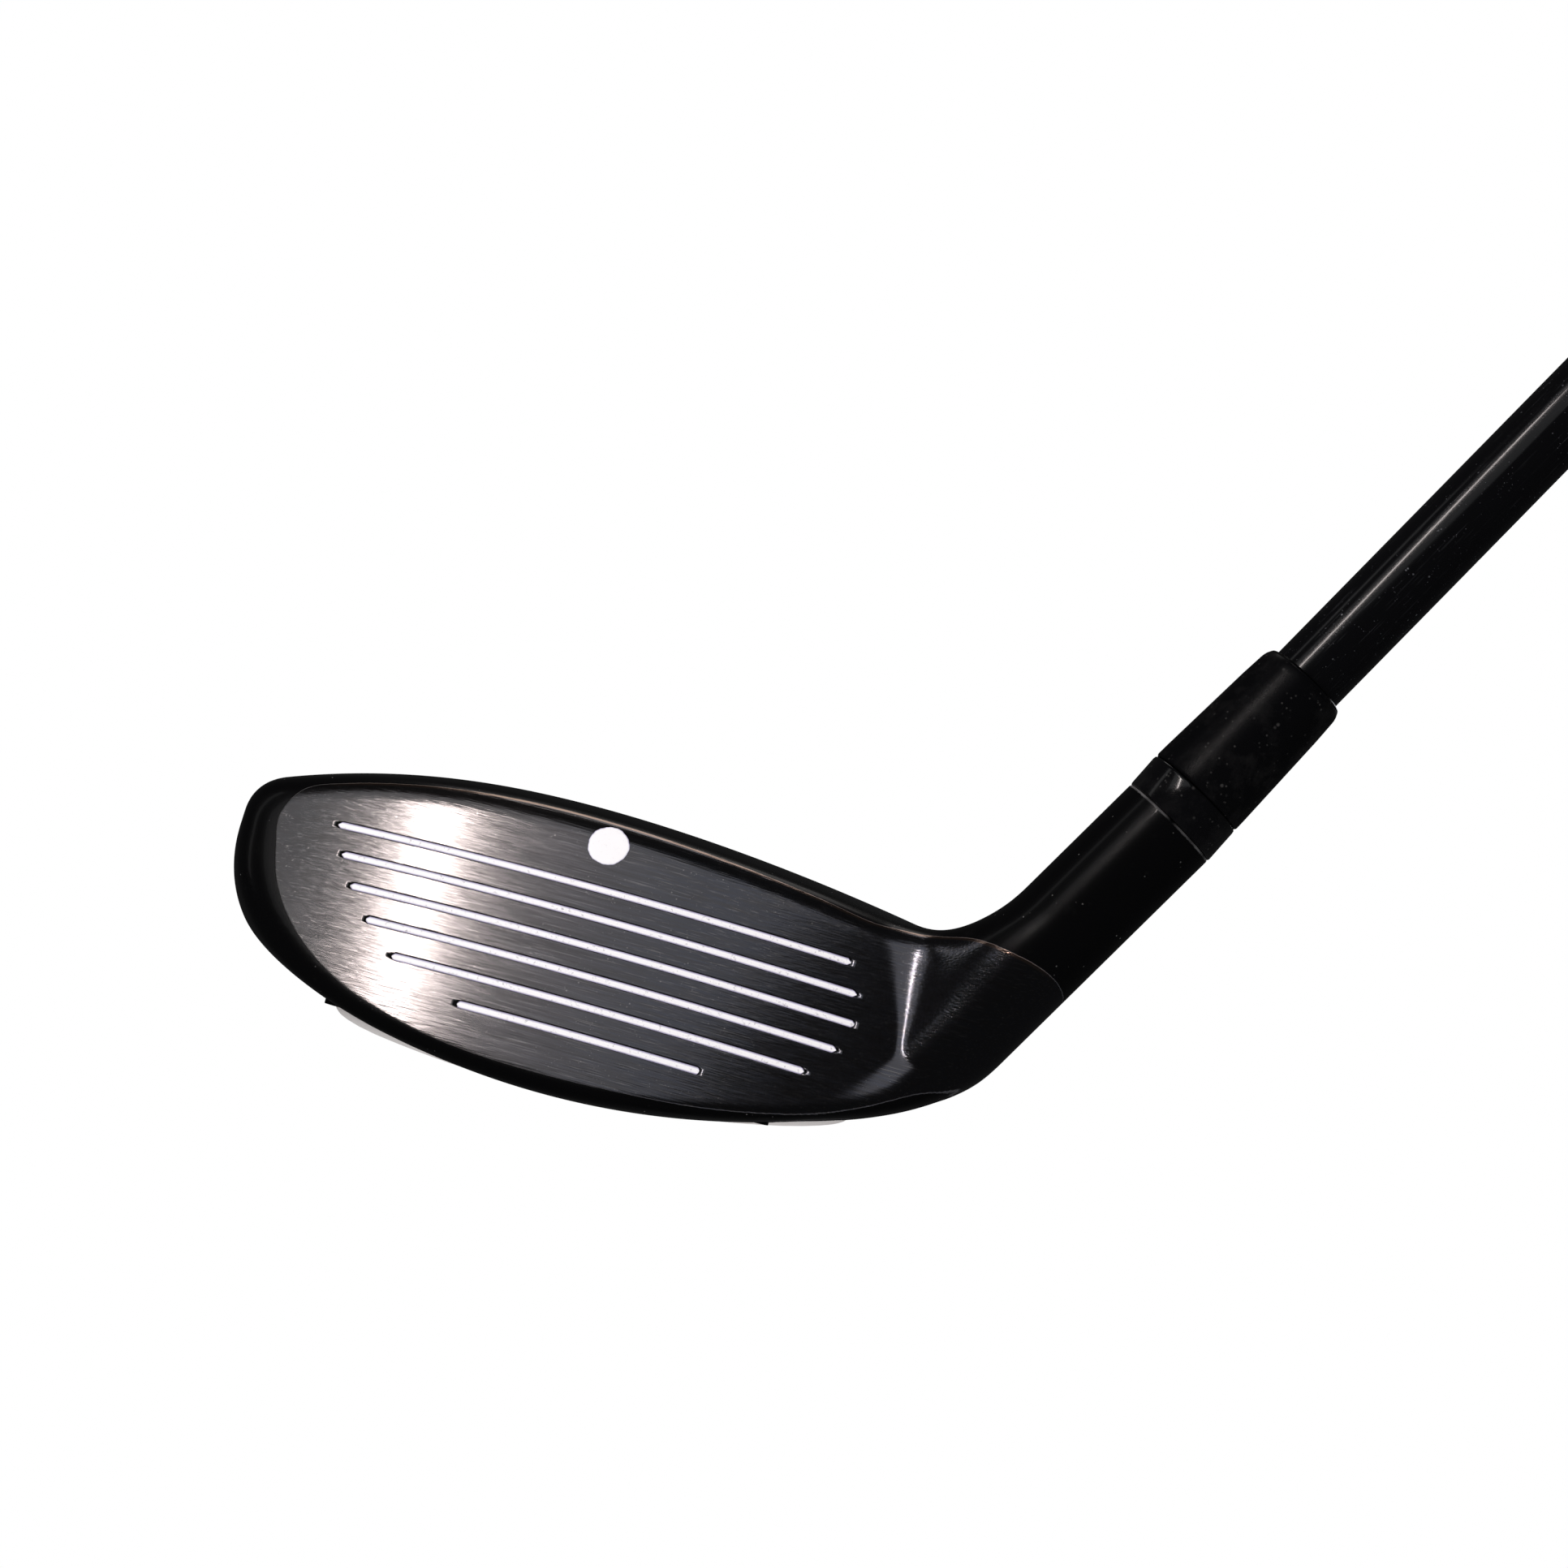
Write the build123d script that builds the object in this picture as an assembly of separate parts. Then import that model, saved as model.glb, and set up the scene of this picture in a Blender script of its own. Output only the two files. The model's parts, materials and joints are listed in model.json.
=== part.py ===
from build123d import *
import os
from math import sin, cos, tan, radians, sqrt

# Adjustable hybrid golf club, right-handed, millimetres.
# +X runs from toe to heel, -Y is the target side the face looks to, +Z is up.
# The origin is the lowest point of the sole, where the club rests at address.

# ---- overall sizes ---------------------------------------------------------
CLUB_LENGTH = 1016.0       # ground to butt, measured along the shaft
SHAFT_LIE = 60.5           # angle of the shaft to the ground
HOSEL_LIE = 59.5           # angle of the hosel bore, the sleeve makes up the difference
LOFT = 22.5                # tilt of the face at the alignment dot
FACE_BULGE = 310.0         # radius of the face, heel to toe and crown to sole
SOLE_RADIUS = 100.0        # camber of the sole
TOP_HEIGHT = 35.75         # highest point of the top line
TOE_X = -46.8              # toe end of the head outline
HEEL_X = 46.5              # heel end of the head outline
HEAD_BACK = 45.3           # rear end of the head outline
DRAWN_HEEL = 46.5          # ends of the outline as its points are drawn
DRAWN_TOE = -46.8
DRAWN_BACK = 45.3

# ---- shaft line ------------------------------------------------------------
AXIS_Y = -1.0              # the shaft stands this far toward the target
CROSS_X = 58.14            # where the shaft axis and the hosel axis cross
CROSS_Z = 40.9
CROSS_S = 47.0             # distance of the crossing from the ground along the shaft
CROSS_T = 47.47            # the same along the hosel

# ---- shaft tip, hosel and sleeve: each fit follows from the shaft tip ------
TIP_D = 9.4
RUNNING_GAP = 0.05         # radial clearance of the pieces that move
SLEEVE_WALL = 0.8
HOSEL_WALL = 0.9
SLEEVE_OD = TIP_D + 2 * SLEEVE_WALL
HOSEL_BORE = SLEEVE_OD + 2 * RUNNING_GAP
HOSEL_OD = HOSEL_BORE + 2 * HOSEL_WALL
COLLAR_OD = HOSEL_OD + 0.1
COLLAR_TOP = 64.1          # top of the collar, along the shaft
FERRULE_TOP = 83.0
FERRULE_FOOT_D = HOSEL_OD + 0.05
FERRULE_TOP_D = TIP_D + 2.1

# distances along the hosel from the ground
HOSEL_MOUTH = 59.8
HOSEL_FOOT = 10.5
SEAT_UNDER = 24.6          # underside of the web the screw pulls against
SEAT_TOP = 28.4
SLEEVE_END = 28.9
SPLINE_TOP = 33.0
SPLINE_CORE = SLEEVE_OD - 2.4
SPLINE_LUGS = 4
# flare: distance along the hosel, shift to the toe, shift back, thinner in depth, short of the heel side
FLARE_STEPS = [(17, 8.0, 3.6, 2.2, 5.6), (23, 6.0, 2.4, 0.3, 0.6), (30, 3.5, 0.6, 0.02, 0.02)]
FLARE_STEPS += [(38, 1.1, 0.02, 0.01, 0.01), (46, 0.02, 0, 0, 0)]
LUG_WIDTH = 2.2

# ---- hosel screw: head, hole and recess follow from the thread -------------
SCREW_D = 5.0
SCREW_HEAD_D = 1.68 * SCREW_D
SCREW_HEAD_H = 3.6
SCREW_TOP = 38.2
SCREW_HOLE_END = 39.1
SCREW_DRIVE = 0.76 * SCREW_D
RECESS_D = SCREW_HEAD_D + 1.0
WASHER_T = 0.8
RETAINER_T = 0.9

# ---- shaft and grip, distances along the shaft from the ground -------------
SHAFT_TIP = 41.3
PARALLEL_TIP = 240.0       # the parallel tip section ends here
BUTT_D = 15.2
TIP_WALL = 2.1
BUTT_WALL = 0.9
CAP_FLANGE = 4.0
CAP_PLUG = 10.0
PLUG_HOLE_D = 8.0          # hollow of the plug under the vent hole
SHAFT_BUTT = CLUB_LENGTH - CAP_FLANGE
BUTT_PARALLEL = SHAFT_BUTT - 32.0
TIP_PIN_L = 20.0
GRIP_LENGTH = 264.0
GRIP_MOUTH = SHAFT_BUTT - GRIP_LENGTH
GRIP_MOUTH_D = 18.4
GRIP_BUTT_D = 26.4
GROOVE_COUNT = 22
GROOVE_STEP = 8.0
GROOVE_DEPTH = 0.5
TAPE_T = 0.2
VENT_D = 3.0

# ---- head walls and inlaid pieces ------------------------------------------
SKIRT_WALL = 1.3
CROWN_WALL = 1.0
SOLE_WALL = 3.2
FACE_WALL = 2.3
SOLE_EDGE = 6.5            # rounding between sole and skirt
CROWN_EDGE = 4.5           # rounding between crown and skirt
LEAD_EDGE = 1.6            # rounding round the face
CROWN_LEDGE = 3.2          # the crown piece stops this far inside the outline
CROWN_FRONT = 1.2
HOSEL_CLEAR_D = 30.0       # the crown piece is cut away round the hosel
PAD_THICK = 1.4
PAD_RADIUS = 147.0         # ball of the pad's walking surface, flatter than the sole
PAD_LOW_X = -4.7           # the pad's ball is lowest here, so it stands prouder at the toe
PAD_SIZE = (67.0, 16.0)
PAD_X = 2.5
PAD_Y = 12.0
PAD_CORNER = 7.5
SLOT_WIDTH = 3.2
SLOT_LENGTH = 56.0
SLOT_X = -0.5
SLOT_Y = -4.4
SLOT_SUNK = 0.5
DOT_R = 2.55
DOT_DEPTH = 0.3
DOT_Z = 31.4
DOT_Y = -4.0
LINE_WIDTH = 0.9
LINE_DEPTH = 0.45
PAINT_SUNK = 0.08
LINE_PITCH = 3.68
FIRST_LINE = 5.75
WEIGHT_X = 2.0
WEIGHT_Y = 29.0
WEIGHT_SUNK = 0.3
WEIGHT_D = 14.0
WEIGHT_FLANGE = 2.2
WEIGHT_LAND = 2.0          # the flange rests on a shoulder this wide round the shank
WEIGHT_SHANK_D = WEIGHT_D - 2 * WEIGHT_LAND
WEIGHT_SHANK_L = 5.0
WEIGHT_DRIVE = 4.6
SEAL_T = 1.2
SEAL_WIDTH = 1.1
BOSS_WALL = 1.7
BOSS_FLOOR = 1.6

# score lines from the dot down: toe end and heel end of each
LINE_ENDS = [(-32.8, 32.1), (-31.0, 33.8), (-28.6, 34.6), (-25.3, 33.3), (-20.7, 30.4), (-11.2, 18.7)]


def hosel_dir():
    return Vector(cos(radians(HOSEL_LIE)), 0, sin(radians(HOSEL_LIE)))


def shaft_dir():
    return Vector(cos(radians(SHAFT_LIE)), 0, sin(radians(SHAFT_LIE)))


def crossing():
    return Vector(CROSS_X, AXIS_Y, CROSS_Z)


def on_hosel(t):
    """Frame at distance t up the hosel axis, its Z along the axis."""
    return Plane(origin=crossing() + hosel_dir() * (t - CROSS_T), x_dir=(0, 1, 0), z_dir=hosel_dir())


def on_shaft(s):
    """Frame at distance s up the shaft axis, its Z along the axis."""
    return Plane(origin=crossing() + shaft_dir() * (s - CROSS_S), x_dir=(0, 1, 0), z_dir=shaft_dir())


def rod(plane_of, low, high, diameter):
    """Round bar between two distances along one of the two axes."""
    disc = plane_of(low) * Circle(diameter / 2)
    return extrude(disc, high - low)


def turned(plane_of, profile):
    """Solid of revolution about an axis from (radius, distance) points."""
    base = plane_of(0)
    spin = Plane(origin=base.origin, x_dir=base.x_dir, z_dir=base.x_dir.cross(base.z_dir))
    wire = spin * Polyline(*[(r, s) for r, s in profile], close=True)
    return revolve(make_face(wire), Axis(base.origin, base.z_dir))


def only(shape):
    """The largest solid of a result."""
    return max(shape.solids(), key=lambda s: s.volume)


# ---- head envelope ---------------------------------------------------------
def top_height(x):
    """Height of the crown above the ground along the top line."""
    d = x + 4
    fall = 0.00476 * d ** 1.8 if d > 0 else 0.00137 * (-d) ** 2.3
    return TOP_HEIGHT - fall


def crown_solid(drop):
    """Everything under the crown surface lowered by drop."""
    rows = []
    for i in range(17):
        x = -60 + 120 * i / 16
        row = []
        for j in range(13):
            y = -34 + 88 * j / 12
            row.append(Vector(x, y, top_height(x) + 0.8 - (y - 8.5) ** 2 / 76 - drop))
        rows.append(row)
    skin = Face.make_surface_from_array_of_points(rows, tol=0.01)
    return Solid.extrude(skin, Vector(0, 0, -90))


def outline(inset):
    """Plan view of the head, larger than it in front where the face cuts it off."""
    kx = (HEEL_X - inset) / DRAWN_HEEL
    kt = (TOE_X + inset) / DRAWN_TOE
    ky = (HEAD_BACK - inset) / DRAWN_BACK
    back = [(46.2, 8), (41, 21), (32, 31.5), (18, 40.5), (0, 45.3), (-18, 43.3), (-33, 35.5), (-43, 23.5)]
    front = [(-46.8, 9), (-45.2, -2), (-38, -11), (-22, -21), (10, -24), (36, -21), (46.2, -7)]
    points = []
    for x, y in back + front:
        points.append(Vector(x * (kx if x > 0 else kt), y * (ky if y > 0 else 1)))
    return Face(Wire([Edge.make_spline(points, periodic=True)]))


def skirt_prism(inset):
    return Solid.extrude(outline(inset).moved(Location((0, 0, -5))), Vector(0, 0, 60))


def sole_ball(rise):
    """Ball whose lower side is the sole, raised by rise and smaller by the same amount."""
    return Sphere(SOLE_RADIUS - rise).rotate(Axis.X, 90).moved(Location((0, 0, SOLE_RADIUS)))


def face_normal():
    return Vector(0, -cos(radians(LOFT)), sin(radians(LOFT)))


def face_ball(depth):
    """Ball whose front is the face, depth behind the striking surface."""
    dot = Vector(0, DOT_Y, DOT_Z)
    centre = dot - face_normal() * FACE_BULGE
    return Sphere(FACE_BULGE - depth).moved(Location(centre))


def face_plane():
    """Sketch frame on the face: origin at the dot, X to the heel, Y up the face."""
    return Plane(origin=(0, DOT_Y, DOT_Z), x_dir=(1, 0, 0), z_dir=face_normal())


def rim_edge(block, place):
    """Long edge round a block: place 0 is the sole's, place -1 the crown's."""
    around = [e for e in block.edges() if e.length > 100]
    return sorted(around, key=lambda e: e.bounding_box().min.Z)[place]


def rounded(block, place, radius):
    """Round a block's rim, a little tighter where the full radius does not fit."""
    for share in (1.0, 0.85, 0.7, 0.5, 0.3):
        try:
            return block.fillet(radius * share, [rim_edge(block, place)])
        except ValueError:
            continue
    return block


def head_block():
    """Crown, skirt and sole rounded into each other, cut off by the face."""
    block = only(skirt_prism(0) & crown_solid(0) & sole_ball(0))
    block = rounded(block, -1, CROWN_EDGE)
    block = rounded(block, 0, SOLE_EDGE)
    block = only(block & face_ball(0))
    front = block.faces().filter_by(GeomType.SPHERE).sort_by(Axis.Y)[0]
    rim = [e for e in front.edges() if e.length > 0.8]
    return block.fillet(LEAD_EDGE, rim)


def flare():
    """Swelling of the hosel toward the toe where it runs into the head."""
    r = HOSEL_OD / 2
    sections = []
    for t, toe, back, thin, heel in FLARE_STEPS:
        at = on_hosel(t) * Location((back, toe))
        sections.append(at * Ellipse(r - thin, toe + r - heel))
    return loft(sections)


def hosel_post():
    """Outside of the hosel, its foot rounded into the sole."""
    post = rod(on_hosel, HOSEL_FOOT, HOSEL_MOUTH, HOSEL_OD)
    foot = [e for e in post.edges() if e.center().Z < 20 and e.geom_type == GeomType.CIRCLE]
    return only(post.fillet(5.5, foot) & sole_ball(0))


def head_envelope():
    """Outside of the whole head, hosel included."""
    return only(head_block() + hosel_post() + flare())


def head_cavity():
    """Hollow of the head, clear of the hosel tube and the weight boss."""
    room = only(skirt_prism(SKIRT_WALL) & crown_solid(CROWN_WALL) & sole_ball(SOLE_WALL))
    room = rounded(room, -1, CROWN_EDGE - 1.0)
    room = rounded(room, 0, SOLE_EDGE / 2)
    room = only(room & face_ball(FACE_WALL))
    tube = rod(on_hosel, -5, 70, HOSEL_OD + 0.8)
    boss = stub(WEIGHT_D + 2 * BOSS_WALL, -2, port_floor() + BOSS_FLOOR)
    return only(room - tube - boss)


# ---- sole weight -----------------------------------------------------------
def weight_port():
    """Frame on the sole at the weight, its Z pointing into the head."""
    down = sqrt(SOLE_RADIUS ** 2 - WEIGHT_X ** 2 - WEIGHT_Y ** 2)
    centre = Vector(0, 0, SOLE_RADIUS)
    reach = Vector(WEIGHT_X, WEIGHT_Y, -down)
    return Plane(origin=centre + reach, x_dir=(1, 0, 0), z_dir=reach * -1)


def stub(diameter, low, high):
    """Round bar on the weight's axis between two depths in the sole."""
    disc = weight_port().offset(low) * Circle(diameter / 2)
    return extrude(disc, high - low)


def weight_seat():
    return WEIGHT_SUNK + WEIGHT_FLANGE


def port_floor():
    return weight_seat() + WEIGHT_SHANK_L + 0.5


def weight_hole():
    """What the port takes out of the head."""
    wide = stub(WEIGHT_D + 0.6, -4, weight_seat())
    groove = stub(WEIGHT_SHANK_D + 2 * RUNNING_GAP + 2 * SEAL_WIDTH, -4, weight_seat() + SEAL_T)
    return wide + groove + stub(WEIGHT_SHANK_D + 2 * RUNNING_GAP, -4, port_floor())


def sole_weight():
    disc = stub(WEIGHT_D, WEIGHT_SUNK, weight_seat())
    disc = chamfer(rim_near(disc, weight_port().offset(WEIGHT_SUNK).origin), 0.5)
    shank = stub(WEIGHT_SHANK_D, weight_seat(), weight_seat() + WEIGHT_SHANK_L)
    drive = extrude(weight_port().offset(-1) * RegularPolygon(WEIGHT_DRIVE / 2, 6), WEIGHT_SUNK + 3.4)
    return only(disc + shank - drive)


def rim_near(shape, point):
    """Circular edges of a shape that are centred on a point."""
    rings = shape.edges().filter_by(GeomType.CIRCLE)
    return [e for e in rings if (e.arc_center - point).length < 0.01]


def weight_seal():
    inner = WEIGHT_SHANK_D + 2 * RUNNING_GAP
    ring = stub(inner + 2 * SEAL_WIDTH - 0.1, weight_seat(), weight_seat() + SEAL_T)
    return only(ring - stub(inner, weight_seat() - 1, weight_seat() + SEAL_T + 1))


# ---- inlays of sole and face -----------------------------------------------
def pad_face():
    """Ball whose lower side is the walking surface of the sole pad."""
    return Sphere(PAD_RADIUS).rotate(Axis.X, 90).moved(Location((PAD_LOW_X, 0, PAD_RADIUS)))


def pad_prism():
    shape = RectangleRounded(PAD_SIZE[0], PAD_SIZE[1], PAD_CORNER)
    return extrude(Plane.XY.offset(-3) * Location((PAD_X, PAD_Y)) * shape, 20)


def sole_pad():
    return only((pad_prism() & pad_face()) - sole_ball(PAD_THICK))


def slot_prism():
    return extrude(Plane.XY.offset(-3) * Location((SLOT_X, SLOT_Y)) * SlotOverall(SLOT_LENGTH, SLOT_WIDTH), 14)


def slot_filler():
    return only((slot_prism() & sole_ball(SLOT_SUNK)) - sole_ball(SOLE_WALL + 0.6))


def plate_edge(x):
    """Height up the face at which the plate ends under the top line."""
    return (top_height(x) - DOT_Z) / cos(radians(LOFT)) - 1.1


def plate_prism():
    """Outline of the face plate, carried through the front wall."""
    low = [(-40.3, -5.9), (-39.4, -9.9), (-37.2, -15.2), (-33.0, -20.2), (-27.2, -24.3)]
    low += [(-20.8, -26.9), (-12.0, -28.9), (-2.0, -29.6), (9.0, -29.3), (20.0, -28.2), (30.0, -25.6)]
    heel = [(36.2, -20.5), (37.4, -13.0), (36.8, -5.0)]
    top = [(x, plate_edge(x)) for x in (33.0, 22.0, 10.0, -2.0, -14.0, -24.0, -32.0)]
    points = [Vector(x, t) for x, t in low + heel + top + [(-38.4, -1.8)]]
    sketch = Face(Wire([Edge.make_spline(points, periodic=True)]))
    base = face_plane().offset(-9)
    return Solid.extrude(sketch.moved(base.location), face_normal() * 18)


def face_layer(prism, top, bottom):
    """The part of a prism between two depths under the face."""
    return (prism & face_ball(top)) - face_ball(bottom)


def dot_prism():
    return extrude(face_plane().offset(-5) * Circle(DOT_R), 10)


def line_prisms():
    found = []
    for i, (toe, heel) in enumerate(LINE_ENDS):
        at = Location(((toe + heel) / 2, -FIRST_LINE - i * LINE_PITCH))
        found.append(extrude(face_plane().offset(-9) * at * SlotOverall(heel - toe, LINE_WIDTH), 18))
    return found


# ---- sleeve, screw and the pieces on the hosel axis ------------------------
def spokes(inner, outer, width, low, high):
    """Lugs or slots round the hosel axis."""
    found = []
    for i in range(SPLINE_LUGS):
        side = Location((0, 0, 0), (0, 0, 360 / SPLINE_LUGS * i))
        bar = side * Location(((inner + outer) / 2, 0)) * Rectangle(outer - inner, width)
        found.append(extrude(on_hosel(low) * bar, high - low))
    return found


def adapter_sleeve():
    barrel = rod(on_hosel, SPLINE_TOP, HOSEL_MOUTH + 1.5, SLEEVE_OD)
    core = rod(on_hosel, SLEEVE_END, SPLINE_TOP, SPLINE_CORE)
    sleeve = barrel + core
    for lug in spokes(SPLINE_CORE / 2 - 1, SLEEVE_OD / 2 - 0.15, LUG_WIDTH, SLEEVE_END, SPLINE_TOP):
        sleeve = sleeve + lug
    collar = rod(on_shaft, COLLAR_TOP - 8, COLLAR_TOP, COLLAR_OD)
    collar = collar - extrude(on_hosel(HOSEL_MOUTH) * Circle(20), -20)
    sleeve = sleeve + collar
    sleeve = sleeve - rod(on_shaft, SHAFT_TIP, COLLAR_TOP + 5, TIP_D)
    return only(sleeve - rod(on_hosel, SLEEVE_END - 1, SCREW_HOLE_END, SCREW_D + 2 * RUNNING_GAP))


def spline_seat():
    seat = rod(on_hosel, SEAT_TOP, SPLINE_TOP - 0.1, HOSEL_BORE)
    seat = seat - rod(on_hosel, SLEEVE_END - 0.1, SPLINE_TOP + 1, SPLINE_CORE + 2 * RUNNING_GAP)
    seat = seat - rod(on_hosel, SEAT_TOP - 1, SLEEVE_END, SCREW_D + 0.6)
    width = LUG_WIDTH + 2 * RUNNING_GAP
    for slot in spokes(0.5, SLEEVE_OD / 2 - 0.1, width, SLEEVE_END - 0.1, SPLINE_TOP + 1):
        seat = seat - slot
    return only(seat)


def screw_underside():
    return SEAT_UNDER - WASHER_T


def hosel_screw():
    low = screw_underside() - SCREW_HEAD_H
    head = rod(on_hosel, low, screw_underside(), SCREW_HEAD_D)
    head = chamfer(rim_near(head, on_hosel(low).origin), 0.5)
    drive = extrude(on_hosel(low - 1) * RegularPolygon(SCREW_DRIVE / 2, 6), 3.4)
    shank = rod(on_hosel, screw_underside(), SCREW_TOP, SCREW_D)
    shank = chamfer(rim_near(shank, on_hosel(SCREW_TOP).origin), 0.5)
    return only(head + shank - drive)


def screw_washer():
    ring = rod(on_hosel, screw_underside(), SEAT_UNDER, SCREW_HEAD_D + 0.2)
    return only(ring - rod(on_hosel, screw_underside() - 1, SEAT_UNDER + 1, SCREW_D + 0.5))


def retainer_top():
    return screw_underside() - SCREW_HEAD_H - 0.1


def screw_retainer():
    ring = rod(on_hosel, retainer_top() - RETAINER_T, retainer_top(), RECESS_D)
    return only(ring - rod(on_hosel, retainer_top() - 3, retainer_top() + 1, SCREW_HEAD_D - 1.8))


def ferrule():
    foot = FERRULE_FOOT_D / 2
    top = FERRULE_TOP_D / 2
    bore = TIP_D / 2
    outside = [(foot, COLLAR_TOP), (foot - 0.05, COLLAR_TOP + 5), ((foot + top) / 2 + 0.05, COLLAR_TOP + 12)]
    rim = [(top, FERRULE_TOP - 1.0), (top - 0.25, FERRULE_TOP - 0.3), (top - 0.6, FERRULE_TOP)]
    return only(turned(on_shaft, outside + rim + [(bore, FERRULE_TOP), (bore, COLLAR_TOP)]))


# ---- shaft and grip --------------------------------------------------------
def shaft_outside():
    tip = TIP_D / 2
    butt = BUTT_D / 2
    return [(tip, SHAFT_TIP), (tip, PARALLEL_TIP), (butt, BUTT_PARALLEL), (butt, SHAFT_BUTT)]


def shaft_radius(s):
    """Outer radius of the shaft at distance s."""
    share = min(max((s - PARALLEL_TIP) / (BUTT_PARALLEL - PARALLEL_TIP), 0), 1)
    return TIP_D / 2 + share * (BUTT_D - TIP_D) / 2


def shaft():
    tip = TIP_D / 2 - TIP_WALL
    butt = BUTT_D / 2 - BUTT_WALL
    inside = [(butt, SHAFT_BUTT), (butt, BUTT_PARALLEL), (tip, PARALLEL_TIP), (tip, SHAFT_TIP)]
    return only(turned(on_shaft, shaft_outside() + inside))


def tip_pin():
    return rod(on_shaft, SHAFT_TIP, SHAFT_TIP + TIP_PIN_L, TIP_D - 2 * TIP_WALL)


def under_grip(extra):
    """Line that follows the shaft under the grip, extra outside it."""
    mouth = shaft_radius(GRIP_MOUTH)
    butt = BUTT_D / 2
    return [(mouth + extra, GRIP_MOUTH), (butt + extra, BUTT_PARALLEL), (butt + extra, SHAFT_BUTT)]


def grip_tape():
    return only(turned(on_shaft, under_grip(TAPE_T) + under_grip(0)[::-1]))


def grip():
    mouth = GRIP_MOUTH_D / 2
    butt = GRIP_BUTT_D / 2
    outside = [(mouth - 1.0, GRIP_MOUTH), (mouth - 0.3, GRIP_MOUTH + 0.8), (mouth, GRIP_MOUTH + 2.5)]
    last = SHAFT_BUTT - 12
    for i in range(GROOVE_COUNT):
        s = GRIP_MOUTH + 22 + i * GROOVE_STEP
        r = mouth + (butt - 0.8 - mouth) * (s - GRIP_MOUTH) / (last - GRIP_MOUTH)
        outside += [(r, s - 0.7), (r - GROOVE_DEPTH, s - 0.3), (r - GROOVE_DEPTH, s + 0.3), (r, s + 0.7)]
    outside += [(butt - 0.8, last), (butt - 0.2, last + 5), (butt, SHAFT_BUTT - 3), (butt, SHAFT_BUTT)]
    return only(turned(on_shaft, outside + under_grip(TAPE_T)[::-1]))


def grip_cap():
    rim = GRIP_BUTT_D / 2
    plug = BUTT_D / 2 - BUTT_WALL
    vent = VENT_D / 2
    hollow = PLUG_HOLE_D / 2
    foot = SHAFT_BUTT - CAP_PLUG
    line = [(vent, SHAFT_BUTT), (hollow, SHAFT_BUTT), (hollow, foot), (plug - 0.5, foot), (plug, foot + 1)]
    line += [(plug, SHAFT_BUTT), (rim, SHAFT_BUTT), (rim - 0.1, SHAFT_BUTT + 1.6), (rim - 0.8, SHAFT_BUTT + 3.0)]
    line += [(rim - 2.4, CLUB_LENGTH), (vent, CLUB_LENGTH)]
    return only(turned(on_shaft, line))


# ---- head pieces -----------------------------------------------------------
def crown_shell(envelope):
    """Crown piece let into the top of the body, clear of face and hosel."""
    behind = Box(200, 100, 100, align=(Align.CENTER, Align.MIN, Align.CENTER)).moved(Location((0, CROWN_FRONT, 0)))
    lid = only(envelope & skirt_prism(CROWN_LEDGE) & behind)
    lid = lid - crown_solid(CROWN_WALL)
    return only(lid - rod(on_hosel, -20, 80, HOSEL_CLEAR_D))


def plate_blank(envelope):
    """Front wall inside the plate's outline."""
    return only((envelope & plate_prism() & face_ball(0)) - face_ball(FACE_WALL))


def face_plate(blank):
    plate = blank
    plate = plate - face_layer(dot_prism(), -1, DOT_DEPTH)
    for prism in line_prisms():
        plate = plate - face_layer(prism, -1, LINE_DEPTH)
    return only(plate)


def head_body(envelope, crown, blank):
    body = envelope - head_cavity()
    body = body - rod(on_hosel, SEAT_TOP, HOSEL_MOUTH + 5, HOSEL_BORE)
    body = body - rod(on_hosel, SEAT_UNDER - 1, SEAT_TOP + 1, SCREW_D + 0.6)
    body = body - rod(on_hosel, -5, SEAT_UNDER, RECESS_D)
    body = body - weight_hole()
    body = body - slot_prism()
    body = body - only((pad_prism() & sole_ball(-1)) - sole_ball(PAD_THICK))
    body = body - crown - blank
    return only(body)


def build_all():
    envelope = head_envelope()
    crown = crown_shell(envelope)
    blank = plate_blank(envelope)
    lines = [face_layer(p, PAINT_SUNK, LINE_DEPTH) for p in line_prisms()]
    return {
        "head_body": head_body(envelope, crown, blank),
        "crown_shell": crown,
        "face_plate": face_plate(blank),
        "alignment_dot": only(face_layer(dot_prism(), 0, DOT_DEPTH)),
        "score_line_fill": Compound([only(p) for p in lines]),
        "slot_filler": slot_filler(),
        "sole_pad": sole_pad(),
        "sole_weight": sole_weight(),
        "weight_seal": weight_seal(),
        "spline_seat": spline_seat(),
        "screw_washer": screw_washer(),
        "screw_retainer": screw_retainer(),
        "hosel_screw": hosel_screw(),
        "adapter_sleeve": adapter_sleeve(),
        "ferrule": ferrule(),
        "shaft": shaft(),
        "tip_pin": tip_pin(),
        "grip_tape": grip_tape(),
        "grip": grip(),
        "grip_cap": grip_cap(),
    }


os.makedirs("parts", exist_ok=True)
for name, shape in build_all().items():
    export_step(shape, f"parts/{name}.step")
    box = shape.bounding_box()
    print(f"{name:16s} {shape.volume:10.1f} mm3  valid {shape.is_valid}  {box.min.Z:8.2f} to {box.max.Z:8.2f}")
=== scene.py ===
"""Adjustable hybrid golf club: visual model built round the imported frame.

Frame: +X toe to heel, -Y toward the target, +Z up, origin under the sole.
Shapes are worked out in millimetres and scaled to metres as they become meshes.
"""
import json
import logging
import math
from dataclasses import dataclass, field
from enum import Enum
from typing import Sequence

import bpy
import numpy as np
from mathutils import Matrix, Quaternion, Vector

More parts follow.
